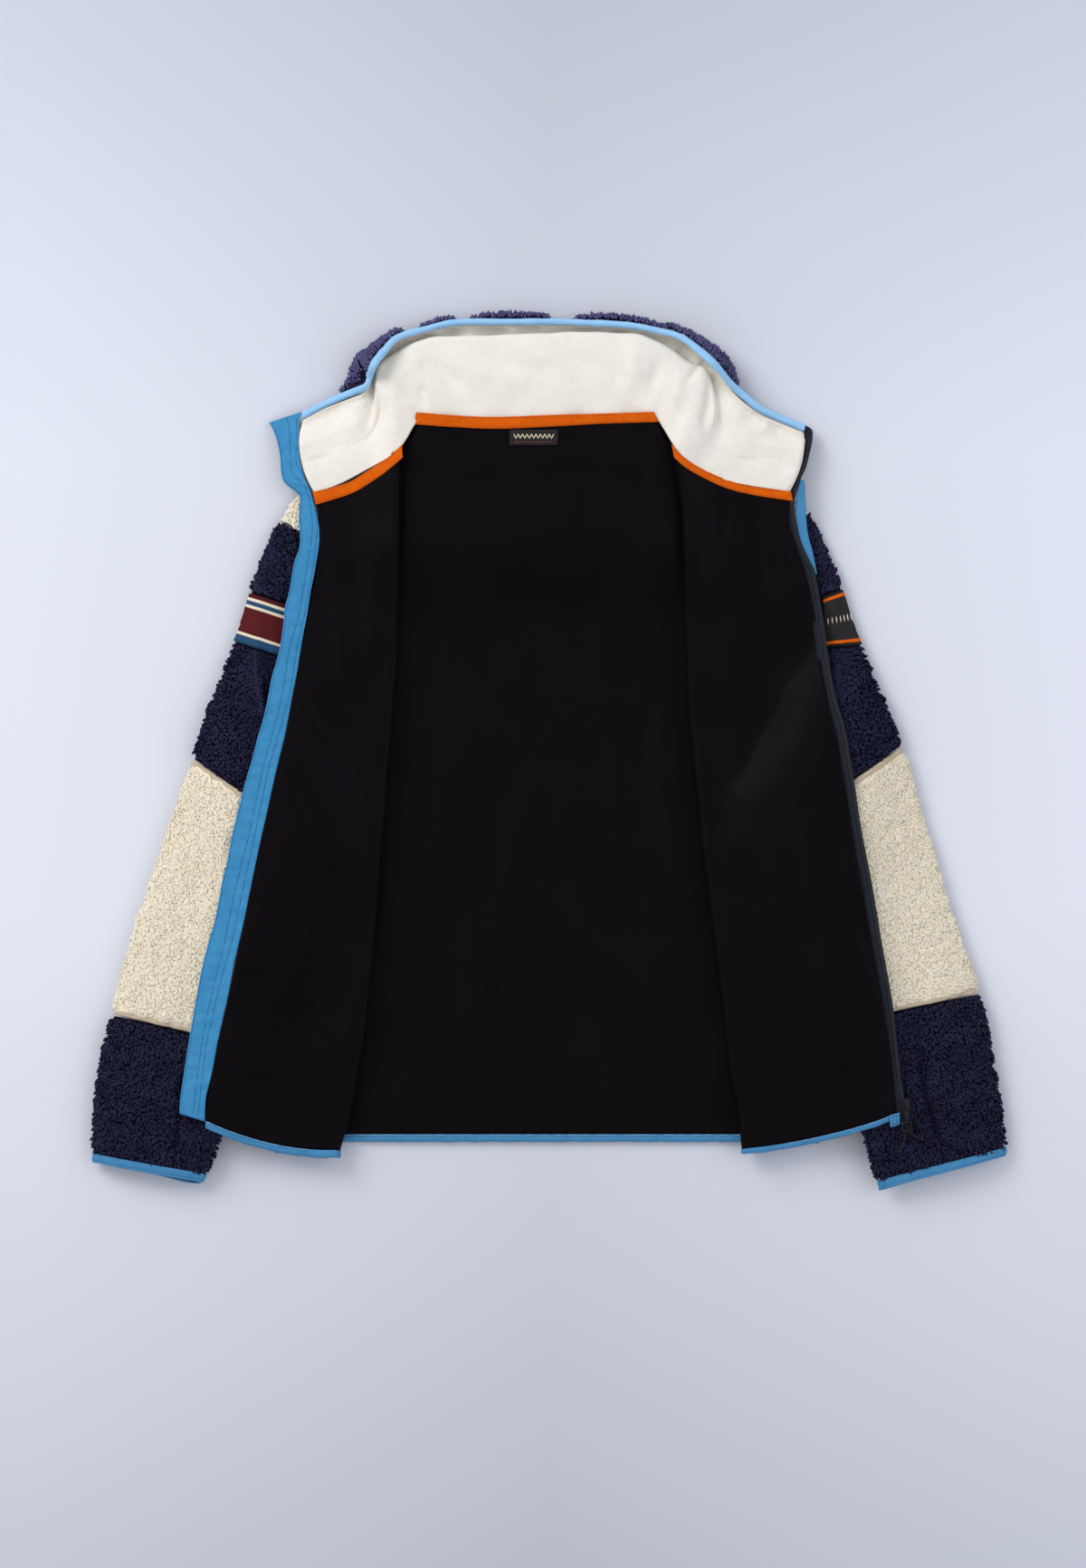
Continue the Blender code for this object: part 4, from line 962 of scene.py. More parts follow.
NECK_LINE = {
    "right": [(-224.5, 244.4), (-199, 253.2), (-180, 262.8), (-162, 273.7), (-151.5, 282.3), (-142, 288.5)],
    "left": [(118, 284.5), (124, 275.5), (141, 265.5), (167, 256.8), (198, 250.0), (229, 245.3)],
}


def neck_y(side, x):
    line = np.array(NECK_LINE[side], float)
    return np.interp(x, line[:, 0], line[:, 1])


print("points that the flaps rest on", {side: len(cloud) for side, cloud in envelope.items()})

# %% Folds of the opened fronts
# height, half width (mm), then the fold's line in picture pixels
FLAP_FOLDS = {
    "right": [
        (1.6, 8, (350, 570), (372, 640), (380, 760)), (-1.4, 7, (365, 560), (392, 620), (402, 720)),
        (1.5, 10, (405, 520), (415, 600), (412, 720)), (1.2, 14, (330, 900), (318, 1050), (290, 1180)),
        (-1.2, 12, (372, 860), (352, 1040), (335, 1200)), (1.2, 7, (240, 1172), (268, 1182), (300, 1180)),
        (-1.0, 5, (245, 1188), (275, 1196), (305, 1198)), (1.0, 6, (250, 1205), (290, 1216), (330, 1220)),
        (1.3, 8, (400, 1060), (388, 1150), (372, 1240)), (0.9, 6, (340, 720), (365, 780)),
        (-0.9, 6, (318, 850), (345, 880)),
    ],
    "left": [
        (2.2, 6, (769, 540), (771, 566), (762, 640)), (2.0, 7, (806, 540), (812, 570), (806, 640)),
        (1.8, 7, (845, 560), (858, 593), (884, 660)), (-1.4, 6, (788, 540), (790, 590), (782, 650)),
        (-1.2, 6, (830, 555), (836, 600), (842, 660)), (1.3, 12, (800, 720), (815, 850), (840, 980)),
        (-1.3, 10, (845, 760), (870, 900), (900, 1060)), (1.2, 12, (880, 900), (915, 1060), (940, 1180)),
        (1.1, 8, (800, 1060), (830, 1150), (850, 1240)), (-1.0, 6, (960, 1120), (930, 1190), (900, 1235)),
    ],
}


def front_surface(side, rows, seam_n, roll_n, flap_n):
    """Grid of a front's inner face: side seam, roll of the fold, open flap."""
    table = np.array(FRONT[side], float)
    run = run_along(table[:, 2:4])
    t = np.interp(np.linspace(0, run[-1], rows), run, np.arange(len(table)))
    at = cubic(table, t)
    s, f, e = at[:, 0:2], at[:, 2:4], at[:, 4:6]
    out = unit(unit(f - s) + unit(f - e))
    centre = f - out * (FOLD_RADIUS + GAP + LINING)
    start = s + ((1.0 if side == "right" else -1.0), 0.0)
    top_share, hem_share = np.clip(t - 11, 0, 1)[:, None], np.clip(1 - t, 0, 1)[:, None]
    u = np.linspace(0, 1, seam_n)[None, :, None]
    low = start[:, None] + (centre - start)[:, None] * u
    low_z = (Z_SEAM + (Z_FRONT - Z_SEAM) * smooth(np.linalg.norm(low - s[:, None], axis=2) / 30)
             + pouch_lift(low[..., 0], low[..., 1]))
    u = np.linspace(0, 1, flap_n)[None, :, None]
    flap = centre[:, None] + (e - centre)[:, None] * u
    flap[..., 1] += HEM_SAG[side] * (4 * u * (1 - u))[..., 0] * hem_share
    flap[..., 1] += (neck_y(side, flap[-1, :, 0]) - flap[-1, :, 1])[None] * top_share
    flap_height = flap_z(side, flap[..., 0], flap[..., 1])
    low_edge, high_edge = low_z[:, -1:], flap_height[:, :1]
    edge_share = smooth(u[..., 0] / 0.10) * smooth((1 - u[..., 0]) / 0.06)
    flap_height = flap_height + edge_share * (creases(flap[..., 0], flap[..., 1], FLAP_FOLDS[side])
                                              + 0.5 * waves(flap * (1.0, 0.6), 34, 21))
    a = np.radians(np.linspace(-90, 90, roll_n + 2)[1:-1])[None, :]
    roll = centre[:, None] + out[:, None] * FOLD_RADIUS * np.cos(a)[..., None]
    limit = np.minimum(roll[..., 1], neck_y(side, roll[..., 0]) - 3.2)
    roll[..., 1] += (limit - roll[..., 1]) * top_share
    roll_z = (low_edge + high_edge) / 2 + (high_edge - low_edge) / 2 * np.sin(a)
    wander = 0.8 * waves(np.stack([roll[..., 1] * 0, roll[..., 1], roll[..., 1] * 0], -1), 60, 23)
    roll[..., 0] += wander * np.cos(a) * (1 - top_share)
    plan = np.concatenate([low, roll, flap], axis=1)
    height = np.concatenate([low_z, roll_z, flap_height], axis=1)
    return np.concatenate([plan, height[..., None]], axis=2)


def pile_side(grid, side, flap_from):
    """Directions from the inner face towards the pile: down under the flap, up on the lower half."""
    n = normals(grid)
    middle = (len(grid) // 2, (flap_from + grid.shape[1]) // 2)
    n = -n if n[middle][2] > 0 else n
    n[:, 0], n[:, -1] = UP, -UP
    n[0, flap_from:], n[-1, flap_from:] = -UP, -UP
    return n


fronts, front_cloth = {}, {}
for side in SIDES:
    lining_grid = front_surface(side, 150, 6, 9, 58)
    n = pile_side(lining_grid, side, 6 + 9)
    fronts[side] = lining_grid, n
    lining = shell(f"front_{side}_lining_cloth", lining_grid - n * (GAP + LINING), lining_grid - n * GAP,
                   black_lining, (f"front_{side}_lining",))
    pile_grid = front_surface(side, 80, 8, 7, 26)
    n = pile_side(pile_grid, side, 8 + 7)
    knobs = (0.5 + 0.5 * waves(pile_grid, 5, 9)[..., None]) * 0.8
    pile = shell(f"front_{side}_cloth", pile_grid + n * (SHERPA - knobs), pile_grid, navy_pile,
                 (f"front_{side}_shell",))
    front_cloth[side] = lining, pile, lining_grid, pile_grid
    print(f"front_{side}: lining {len(lining.data.polygons)} faces, pile {len(pile.data.polygons)} faces")

# %% [markdown]
# ## Bound hems
# The raw lower edges of back and fronts are folded into a stretchy blue tape.  Its
# section is a flat, slightly puffed U over the edge, so it is one closed profile swept
# along the hem, with a row of stitches close to the lining.  Stitches are real little
# pieces of thread: short rounded bars, slightly sunk in.


# %% Thread and bound edges
def bars(name, starts, ends, up, radius, flat, material, slot):
    """Many short rounded bars, from starts to ends, as one piece."""
    way = unit(ends - starts)
    rise = unit(up - way * np.sum(up * way, axis=1, keepdims=True))
    across = np.cross(way, rise)
    points = []
    for share, fat in ((0.0, 0.5), (0.5, 1.0), (1.0, 0.5)):
        middle = starts + (ends - starts) * share - rise * (0.28 * radius * (fat < 1))
        for a, b in ((1, 0), (0, 1), (-1, 0), (0, -1)):
            points.append(middle + across * a * radius * fat + rise * b * radius * flat * fat)
    template = [(4 * r + q, 4 * r + (q + 1) % 4, 4 * r + 4 + (q + 1) % 4, 4 * r + 4 + q)
                for r in range(2) for q in range(4)]
    template += [(3, 2, 1, 0), (8, 9, 10, 11)]
    faces = (np.array(template)[None] + (np.arange(len(starts)) * 12)[:, None, None]).reshape(-1, 4)
    return add_piece(name, np.stack(points, 1).reshape(-1, 3), faces, material)


def threads(name, lines, material, slot, pitch=3.3, length=2.3, radius=0.30, flat=0.6):
    """Stitches along lines; each line is (points, upward directions)."""
    starts, ends, ups = [], [], []
    for line, up in lines:
        line = np.asarray(line, float)
        number = max(int(path_length(line) / pitch), 1)
        at = even(np.concatenate([line, np.broadcast_to(up, line.shape)], axis=1), number * 12 + 1)
        step = min(int(round(12 * length / pitch)), 12)
        starts.append(at[:-step:12, :3])
        ends.append(at[step::12, :3][:len(starts[-1])])
        starts[-1] = starts[-1][:len(ends[-1])]
        ups.append(at[:-step:12, 3:][:len(ends[-1])])
    piece = bars(name, np.concatenate(starts), np.concatenate(ends), np.concatenate(ups), radius, flat, material, slot)
    print(f"{name}: {sum(len(x) for x in starts)} stitches")
    return piece


HEM_PROFILE = np.array([(-2.4, 1.75), (1.5, 2.15), (5.0, 2.05), (7.0, 1.1), (7.7, -1.2), (7.0, -3.6), (5.0, -4.5),
                        (1.5, -4.6), (-2.0, -4.35)])


def pucker(count, line, amount, size, seed):
    """Small swells along a tape, one number a point."""
    p = np.zeros((count, 3))
    p[:, 0] = np.linspace(0, path_length(line), count)
    return amount * waves(p, size, seed)


def bound_edge(label, edge, up, seed, start, reach, bare=0):
    """Blue tape over a hem from `start` to `reach` mm past it, with its stitches and a row of pale thread along the
    fold that is a painted highlight.

    The first `bare` points of the hem have no thread.
    """
    n = len(edge)
    profile = np.repeat(HEM_PROFILE[None], n, axis=0)
    profile[..., 0] = start + (profile[..., 0] + 2.4) * (reach - start) / 10.1
    profile[..., 1] *= 1 + pucker(n, edge, 0.05, 9, seed)[:, None]
    profile[:, 2:7, 0] += pucker(n, edge, 0.25, 14, seed + 1)[:, None]
    for k, s in ((0, 0.5), (1, 0.8), (2, 0.95)):
        for row in (k, -1 - k):
            profile[row, :, 1] = -1.2 + (profile[row, :, 1] + 1.2) * s
    past = (0, -1.0, 0)
    tape = sweep(f"hem_tape_{label}", edge, profile, past, up, blue_tape, (f"hem_binding_{label}",))
    out, up, line = (np.broadcast_to(v, edge.shape)[3:-3][bare:] for v in (past, up, edge))
    stitches = threads(f"hem_stitches_{label}", [(line + out * (start + 1.9) + up * 2.1, up)], blue_thread,
                       "blue_tape", radius=0.4)
    # pale thread along the tape's fold: painted highlight where the folded edge catches the light
    pale = threads(f"hem_highlight_line_{label}", [(line + out * (start + 0.5) + up * 1.75, up)], highlight_thread, "blue_tape",
                   pitch=2.4, length=2.2, radius=0.34)
    return [tape, stitches, pale]


hem_pieces = {}
for side, start, reach in (("right", -0.65, 7.0), ("left", -0.3, 5.2)):
    grid, n = fronts[side]
    picked = np.linspace(0, grid.shape[1] - 1, 170)
    hem_pieces[side] = bound_edge(side, cubic(grid[0], picked), unit(cubic(-n[0], picked)), 31, start, reach, 60)

# %% [markdown]
# ## Back
# The back panel is one wide sheet of pile with its lining on top.  The lining hangs
# loose between the folds of the fronts, so it shows broad soft swells that run up and
# down.  The hood's pouch pushes the top of it up.

# %% Back panel
BACK_TOP = [(-257.5, 220.8), (-243, 240), (-214, 260), (-182, 277), (-152, 291.5), (-141, 296.5), (-134.2, 306),
            (-126, 315.2), (-110, 317.3), (-82, 316.3), (-38, 314.3), (0, 314.3), (37, 317.3), (72, 318.3),
            (92.5, 319.2), (102.5, 315), (108.7, 306), (114, 296), (134, 291), (165, 279.5), (200, 265), (233, 244),
            (245.7, 226.9)]
# side rows from hem to shoulder tip: right x, y | left x, y
BACK_SIDE = [(-264, -379, 258, -371), (-268, -240, 262, -240), (-273, -105, 266, -105), (-277, -26, 269, -26),
             (-281, 6, 273, 6), (-268, 34, 262, 34), (-253, 74, 249, 74), (-241, 120, 239, 120), (-234, 166, 232, 166),
             (-236.3, 206.5, 232.4, 207.3), (-257.5, 220.8, 245.7, 226.9)]
HEM_Y_MID = -369.5
BACK_FOLDS = [
    (-2.6, 12, (462, 520), (470, 700), (458, 900), (440, 1080), (425, 1230)),
    (1.9, 16, (505, 560), (520, 760), (500, 980)), (1.8, 13, (600, 830), (572, 950), (540, 1080), (500, 1215)),
    (-1.8, 10, (585, 960), (560, 1060), (530, 1180)), (1.5, 11, (588, 980), (560, 1100), (548, 1180)),
    (-2.8, 11, (690, 540), (700, 770), (715, 930), (740, 1040), (778, 1150)),
    (1.9, 14, (660, 560), (668, 760), (690, 960)), (2.0, 9, (725, 620), (732, 800), (745, 960), (775, 1080)),
    (1.4, 18, (640, 1000), (660, 1120), (690, 1230)), (1.2, 9, (470, 505), (515, 520), (560, 515)),
    (-1.2, 8, (560, 505), (600, 530), (660, 520)), (1.2, 8, (640, 500), (690, 512), (712, 530)),
    (-1.4, 9, (600, 1090), (612, 1180), (618, 1245)),
]


def back_surface(rows, cols):
    """The back panel on its own lines, with the pouch pushing the top up."""
    top = np.array(BACK_TOP, float)
    coarse = []
    for k, (rx, ry, lx, ly) in enumerate(BACK_SIDE):
        g = 1.0 if k == len(BACK_SIDE) - 1 else min((ry + 379) / 598.0, 1.0)
        w = float(smooth((g - 0.72) / 0.28))
        u = np.arange(len(top)) / (len(top) - 1)
        even_x = rx + (lx - rx) * u
        spread = rx + (top[:, 0] - top[0, 0]) * (lx - rx) / (top[-1, 0] - top[0, 0])
        side_y = ry + (ly - ry) * u
        centre = HEM_Y_MID + (top[:, 1] - HEM_Y_MID) * g
        y = side_y + (centre - side_y) * smooth(np.minimum(u, 1 - u) / 0.14)
        if k == len(BACK_SIDE) - 1:
            y = top[:, 1]
        coarse.append(np.stack([even_x + (spread - even_x) * w, y], 1))
    coarse = np.array(coarse)
    run = run_along(coarse[:, 11])
    t = np.interp(np.linspace(0, run[-1], rows), run, np.arange(len(BACK_SIDE)))
    i = np.clip(t.astype(int), 0, len(coarse) - 2)
    f = (t - i)[:, None, None]
    dense = coarse[i] * (1 - f) + coarse[i + 1] * f
    c = np.linspace(0, len(top) - 1, cols)
    j = np.clip(c.astype(int), 0, len(top) - 2)
    g = (c - j)[None, :, None]
    dense = dense[:, j] * (1 - g) + dense[:, j + 1] * g
    return np.concatenate([dense, (Z_BACK + pouch_lift(dense[..., 0], dense[..., 1]))[..., None]], axis=2)


back_grid = back_surface(110, 94)
x, y = back_grid[..., 0], back_grid[..., 1]
room = smooth((y + 372) / 30) * smooth((300 - y) / 25)
swells = (creases(x, y, BACK_FOLDS) * 0.95 + 0.8 * waves(back_grid * (1, 0.35, 0), 46, 3)
          + 0.25 * waves(back_grid * (1, 0.5, 0), 17, 4))
lift = GAP + LINING + room * (0.9 + np.clip(swells, -0.9, 4.0))
lining_top = back_grid + UP * lift[..., None]
back_lining = shell("back_lining_cloth", lining_top, lining_top - UP * LINING, black_lining,
                    ("back_lining",))
cut_sheet(back_lining, back_grid)
pile_grid = back_surface(60, 70)
knobs = (0.5 + 0.5 * waves(pile_grid, 5, 12)[..., None]) * 0.7
back_pile = shell("back_cloth", pile_grid, pile_grid - UP * (SHERPA - knobs), navy_pile, ("back_shell",))
edge = cubic(back_grid[0], np.linspace(0, back_grid.shape[1] - 1, 260))
cut_sheet(back_pile, pile_grid, bound_edge("back", edge, UP, 35, -1.2, 6.2))

# %% [markdown]
# ## Hood
# The hood is pile outside and cream fleece inside.  Its back half folds down behind the
# neck and up again, so from above one sees a smooth band, the crest where it turns
# down, a shadowed inner wall and the bound rim.  Each section of the table walks that
# path from the neck seam to the rim as short steps with a heading, and the sections
# are joined by a smooth surface.

# %% Hood surface
CREST_R, POUCH_R = 3.6, 4.3
# columns: neck x, y, z (0: on the flap) | middle of the rim tape u, v in pixels | band length |
#          crest turn in degrees | pouch depth | height of the lower ply | rim radius | rim turn in degrees
HOOD = [
    (-224.5, 245.8, 0, 334, 459.2, 28, 0, 3, 11, 12, 0), (-202, 253.6, 0, 360.5, 445.5, 28, 0, 3, 12, 12, 0),
    (-175, 267.3, 0, 385.8, 434.8, 26, 0, 3, 16, 12, 6), (-161, 274.2, 0, 397, 430, 30, 20, 3, 16, 12, 32),
    (-150.5, 280.2, 0, 405.5, 425, 41, 60, 3, 13, 13, 74), (-142.8, 287.5, 33, 408.8, 415.5, 57, 105, 4, 8, 9, 112),
    (-136, 298.0, 28, 414, 402.8, 66.8, 145, 7, 5, 19, 140),
    (-129.8, 309.5, 25.5, 425, 387.5, 64.7, 180, 24, 4, 17, 122),
    (-124.7, 316.8, 22.5, 440.5, 372.3, 63.5, 180, 64, 4, 15, 96),
    (-110, 318.2, 22.5, 471, 363, 71.2, 180, 112, 4, 13, 76), (-82, 317.2, 22.5, 504, 355.7, 73.6, 180, 145, 4, 12, 70),
    (-38, 315.2, 22.5, 563, 355.2, 77.3, 180, 158, 4, 12, 68), (0, 315.2, 22.5, 607, 354.8, 78.6, 180, 158, 4, 12, 68),
    (37, 318.2, 22.5, 650, 356.2, 76.6, 180, 150, 4, 12, 70),
    (72, 319.2, 22.5, 694.5, 358.8, 74.7, 180, 122, 4, 13, 74), (92.7, 320.2, 22.5, 727, 365, 66, 180, 82, 4, 15, 80),
    (103.4, 315.9, 22.5, 751, 371.5, 62.5, 180, 46, 4, 16, 95),
    (109.8, 306.6, 24.5, 770, 385, 63.1, 180, 20, 4, 17, 110), (115.6, 296.4, 28, 784, 398, 71, 150, 8, 5, 17, 128),
    (121.0, 286.6, 34.5, 794, 408.2, 67, 110, 4, 8, 15, 112), (127.5, 275.0, 0, 805, 420.5, 56, 64, 3, 13, 13, 72),
    (141, 266.8, 0, 816.7, 432.2, 34, 26, 3, 17, 12, 30), (160, 260.4, 0, 839.7, 451.3, 24, 0, 3, 17, 12, 6),
    (187, 253.6, 0, 862.8, 462.2, 24, 0, 3, 13, 12, 0), (229.5, 246.6, 0, 889.3, 473, 24, 0, 3, 12, 12, 0),
]
COLLAR_BOW = {(False, 224): -8.0, (False, 202): -5.0, (False, 175): -2.0,
              (True, 230): 5.0, (True, 187): 3.0, (True, 160): 1.0}
BAND, CREST, PLY, POUCH, RUN, RIM = 30, 39, 44, 49, 58, 70      # last column of each stretch
HOOD_ROWS, HOOD_END = 190, len(HOOD) - 1


def rim_middle(row):
    """Middle of the rim tape in the plan: its picture position, drawn in for its height under the camera."""
    high = row[8] + row[9] * (1 - math.cos(math.radians(row[10])))
    centre = np.array([centre_x, centre_y])
    return centre + (np.array(spot(row[3], row[4])) - centre) * (1 - high * MM / camera_height)


def hood_section(row, extra=0.0):
    """Profile from the neck seam over the crest, round the pouch and up to the rim, in short steps."""
    nx, ny, nz, _, _, band, turn, depth, low, rim_r, rim_turn = row
    a, g = math.radians(turn), math.radians(rim_turn)
    n, r = np.array([nx, ny]), rim_middle(row)
    d = unit(r - n)
    reach = np.linalg.norm(r - n) - 4.7 * math.cos(g) - 1.0 * math.sin(g)
    z0 = nz if nz else float(flap_z("right" if nx < 0 else "left", nx, ny - 1.0))
    bow = COLLAR_BOW.get((nx > 0, round(abs(nx))), 0.0)

    def arc(length, first, last, count):
        return [(length / count, first + (last - first) * (k + 0.5) / count) for k in range(count)]

    middle = (arc(max(CREST_R * a, 7.5), 0, -a, CREST - BAND) + arc(max(depth, 3.0), -a, -a, PLY - CREST)
              + arc(max(POUCH_R * a, 7.5), -a, 0, POUCH - PLY))
    rim = arc(max(rim_r * g, 7.5), 0, g, RIM - RUN)
    drop = -sum(s[0] * math.sin(s[1]) for s in middle)
    ahead = sum(s[0] * math.cos(s[1]) for s in middle + rim)
    z_band = max(low + drop, 0) if turn > 0 else (z0 + low) / 2 + 2
    run = max(reach - band - ahead, 0.6)
    tilt, swell = math.atan2(z_band - z0, band), (6.0 if turn >= 180 else 2.0) / band
    steps = arc(math.hypot(band, z_band - z0), tilt + 2 * swell, tilt - 2 * swell, BAND) + middle
    fall = math.atan2(low - z_band + drop, run)
    steps += arc(math.hypot(run, low - z_band + drop), fall, fall, RUN - POUCH) + rim + ([(extra, g)] if extra else [])
    q, z = 0.0, z0
    out = []
    for length, heading in [(0.0, 0.0)] + steps:
        q, z = q + length * math.cos(heading), z + length * math.sin(heading)
        f = min(q / reach, 1.0)
        out.append((n[0] + d[0] * q + bow * 4 * f * (1 - f), n[1] + d[1] * q, z))
    return out


hood_coarse = np.array([hood_section(row) for row in HOOD])
hood_long = np.array([hood_section(row, 7.6) for row in HOOD])
run = run_along(hood_long[:, -1])
even_rows = np.interp(np.linspace(0, run[-1], HOOD_ROWS), run, np.arange(len(HOOD)))
hood_grid = cubic(hood_coarse, 0.55 * even_rows + 0.45 * np.linspace(0, HOOD_END, HOOD_ROWS))
# the corner beside the wearer's right collar is soft, so its rows are eased together
near = np.exp(-((hood_grid[..., 0] + 170) ** 2 + (hood_grid[..., 1] - 346) ** 2) / 15 ** 2)
near = near * smooth((RIM - np.arange(RIM + 1)[None, :]) / 7)
for _ in range(30):
    eased = (hood_grid[:-2] + hood_grid[2:]) / 2
    hood_grid[1:-1] += (eased - hood_grid[1:-1]) * near[1:-1, :, None]
hood_out = normals(hood_grid)
for axis, span in ((0, 4), (1, 2)):
    count = hood_out.shape[axis]
    hood_out = unit(sum(np.take(hood_out, np.clip(np.arange(count) + k, 0, count - 1), axis)
                        for k in range(-span, span + 1)))
if hood_out[HOOD_ROWS // 2, RIM - 6, 1] < 0:
    hood_out = -hood_out
print("hood grid", hood_grid.shape, "reaches", round(hood_grid[..., 2].max(), 1), "mm up")

# %% [markdown]
# ## Fleece lining and outside of the hood
# The fleece is thicker and softer than the body lining, so its folds are round and
# shallow: slanting pulls below each end of the crest, a crease down from each cusp, and
# small puckers on the inner wall beside the rim.

# %% Hood pieces
HOOD_FOLDS = [
    (1.6, 3.0, (409, 434), (410.5, 452), (410, 478)), (-2.4, 5.0, (416, 436), (417.5, 452), (416, 478)),
    (-1.6, 7, (424, 440), (424, 462), (418, 486)), (2.2, 8, (436, 412), (434, 440), (440, 470)),
    (-1.4, 7, (450, 405), (456, 430), (460, 450)), (2.6, 9, (462, 386), (455, 412), (462, 438)),
    (-2.6, 7, (479, 402), (492, 415), (510, 432)), (-2.0, 5, (469, 426), (467, 440), (468, 452)),
    (1.6, 9, (490, 390), (530, 412), (590, 430)), (-1.5, 9, (520, 385), (560, 404), (600, 412)),
    (1.3, 9, (560, 380), (600, 395), (650, 392)), (-1.6, 9, (600, 388), (650, 402), (690, 424)),
    (2.4, 8, (700, 380), (700, 405), (690, 440)), (-2.6, 7, (728, 396), (724, 415), (716, 436)),
    (2.2, 8, (750, 408), (748, 435), (740, 462)), (-3.0, 3.0, (759, 424), (768, 412), (777, 399)),
    (2.2, 2.2, (780, 401), (790.5, 415), (791, 430), (788, 452), (784, 476)),
    (-3.0, 4.5, (784, 424), (783, 440), (779, 460), (776, 476)),
    (1.6, 6, (801, 434), (798, 456), (792, 482)), (1.2, 9, (360, 455), (372, 490), (375, 520)),
    (-1.2, 8, (345, 480), (356, 520), (365, 540)), (1.4, 9, (835, 470), (845, 500), (852, 530)),
    (-1.2, 8, (815, 480), (822, 505), (828, 530)),
]
column = np.arange(RIM + 1)[None, :]
fold = (1.35 * creases(hood_grid[..., 0], hood_grid[..., 1], HOOD_FOLDS) * (1 - smooth((column - BAND) / 7))
        * smooth(column / 2))
s = run_along(hood_grid[:, RIM])
s = np.stack([s, 0 * s, 0 * s], 1)
rim_pucker = (1.5 * waves(s, 17, 8) + 0.6 * waves(s, 8, 9))[:, None] * smooth((column - RUN + 6) / 5)
soft = 0.7 * waves(hood_grid, 30, 15)
push = ((fold - rim_pucker + soft) * (1 - smooth((column - RIM + 5) / 4)))[..., None]
hood_face = hood_grid - hood_out * push
fleece_face = hood_face - hood_out * (GAP + FLEECE)
hood_lining = shell("hood_lining_cloth", fleece_face, hood_face - hood_out * GAP, hood_fleece,
                    ("hood_lining",))
# faces on the inner wall take the darker, warmer copy of the fleece: painted shade
hood_lining.data.materials.append(wall_shade_fleece)
in_shaded_wall = [p.vertices[0] % (RIM + 1) > RUN + 3 for p in hood_lining.data.polygons]
hood_lining.data.polygons.foreach_set("material_index", np.array(in_shaded_wall, int))
cut_sheet(hood_lining, hood_grid)

pile_inner = hood_face + hood_out * 0.5
pile_outer = hood_face + hood_out * 2.6
pile_outer[..., 2] = np.maximum(pile_outer[..., 2], 0.4)
pile_inner[..., 2] = np.maximum(pile_inner[..., 2], 0.8)
height, width = hood_grid.shape[:2]
for face, clear in ((pile_inner, 0.4), (pile_outer, 0.9)):
    for _ in range(3):
        worst = np.zeros(face.shape[:2])
        away = np.zeros(face.shape)
        for k in range(-8, 9, 2):
            for m in range(-4, 5):
                rows = np.clip(np.arange(height) + k, 0, height - 1)[:, None]
                cols = np.clip(np.arange(width) + m, 0, width - 1)[None, :]
                gap = face - hood_face[rows, cols]
                short = np.where(np.linalg.norm(gap, axis=2) < 5.0,
                                 clear - np.sum(gap * hood_out[rows, cols], axis=2), 0)
                take = short > worst
                worst = np.where(take, short, worst)
                away = np.where(take[..., None], hood_out[rows, cols], away)
        face += away * worst[..., None]
    print("pile drawn back from the fleece, still short by", round(float(worst.max()), 2), "mm")
hood_shell = shell("hood_cloth", pile_outer[::2], pile_inner[::2], navy_pile, ("hood_shell",))

# %% Pile past the rim
# hood row, and how many picture pixels the pile reaches past the middle of the rim tape there
REACH = np.array([(0, 3.5), (1.5, 3.5), (1.65, 6), (2, 16), (2.5, 22), (3, 30), (3.5, 34), (4, 35), (5, 28.5),
                  (6, 21.5), (7, 16.3), (8, 10), (8.25, 3.5), (8.6, 3.8), (9, 6.3), (9.4, 6.5), (9.7, 8), (10, 5.2),
                  (10.08, 3.5), (10.27, 3.5), (10.35, 6.5), (10.6, 9.4), (11, 10.5), (11.3, 10.7), (11.8, 8.7),
                  (12.1, 3.5), (12.6, 3.5), (12.65, 6.5), (13, 8.8), (13.5, 10), (14, 10), (14.3, 10.7), (14.7, 9.4),
                  (15, 6.7), (15.5, 10.5), (16, 10.4), (17, 14), (18, 17), (19, 18.5), (20, 13.5), (20.5, 8),
                  (20.8, 3.5), (24, 3.5)])
RIM_T = np.linspace(0, HOOD_END, 480)
rim_seen = cubic([rim_middle(row) for row in HOOD], RIM_T)
rim_away = unit(rim_seen - cubic(hood_coarse[:, 0, :2], RIM_T))
reach = np.interp(RIM_T, REACH[:, 0], REACH[:, 1]) * PIXEL
FIRST_SHOWN, END_SHOWN = 20, 430            # the stretch of the rim that has pile past it
shown = slice(FIRST_SHOWN, END_SHOWN)
a = np.linspace(0, math.pi / 2, 9)[None, :]
rim_top = np.maximum(cubic(hood_long[:, -1, 2:], RIM_T)[shown] - 3.5, 8.0)
s = np.stack([RIM_T[shown] * 24, 0 * RIM_T[shown], 0 * RIM_T[shown]], 1)
swell = (reach[shown] - 3.7 + 0.6 * waves(s, 13, 18) * (reach[shown] > 5))[:, None]
bulge_past = np.maximum(swell, -0.5) * np.sin(a)
bulge_z = 3.0 + (rim_top - 3.0) * np.cos(a)
bulge_past = np.concatenate([bulge_past, bulge_past[:, -1:] - 1.6], axis=1)
bulge_z = np.concatenate([bulge_z, 0 * bulge_z[:, -1:] + 0.6], axis=1)
bulge_plan = rim_seen[shown, None] + rim_away[shown, None] * bulge_past[..., None]
bulge = np.concatenate([bulge_plan, bulge_z[..., None]], axis=2)
bulge_out = normals(bulge)
if np.sum(bulge_out[200, 5, :2] * rim_away[FIRST_SHOWN + 200]) < 0:
    bulge_out = -bulge_out
hood_bulge = shell("hood_cloth_past_rim", bulge[::2], (bulge - bulge_out * 1.2)[::2], navy_pile)


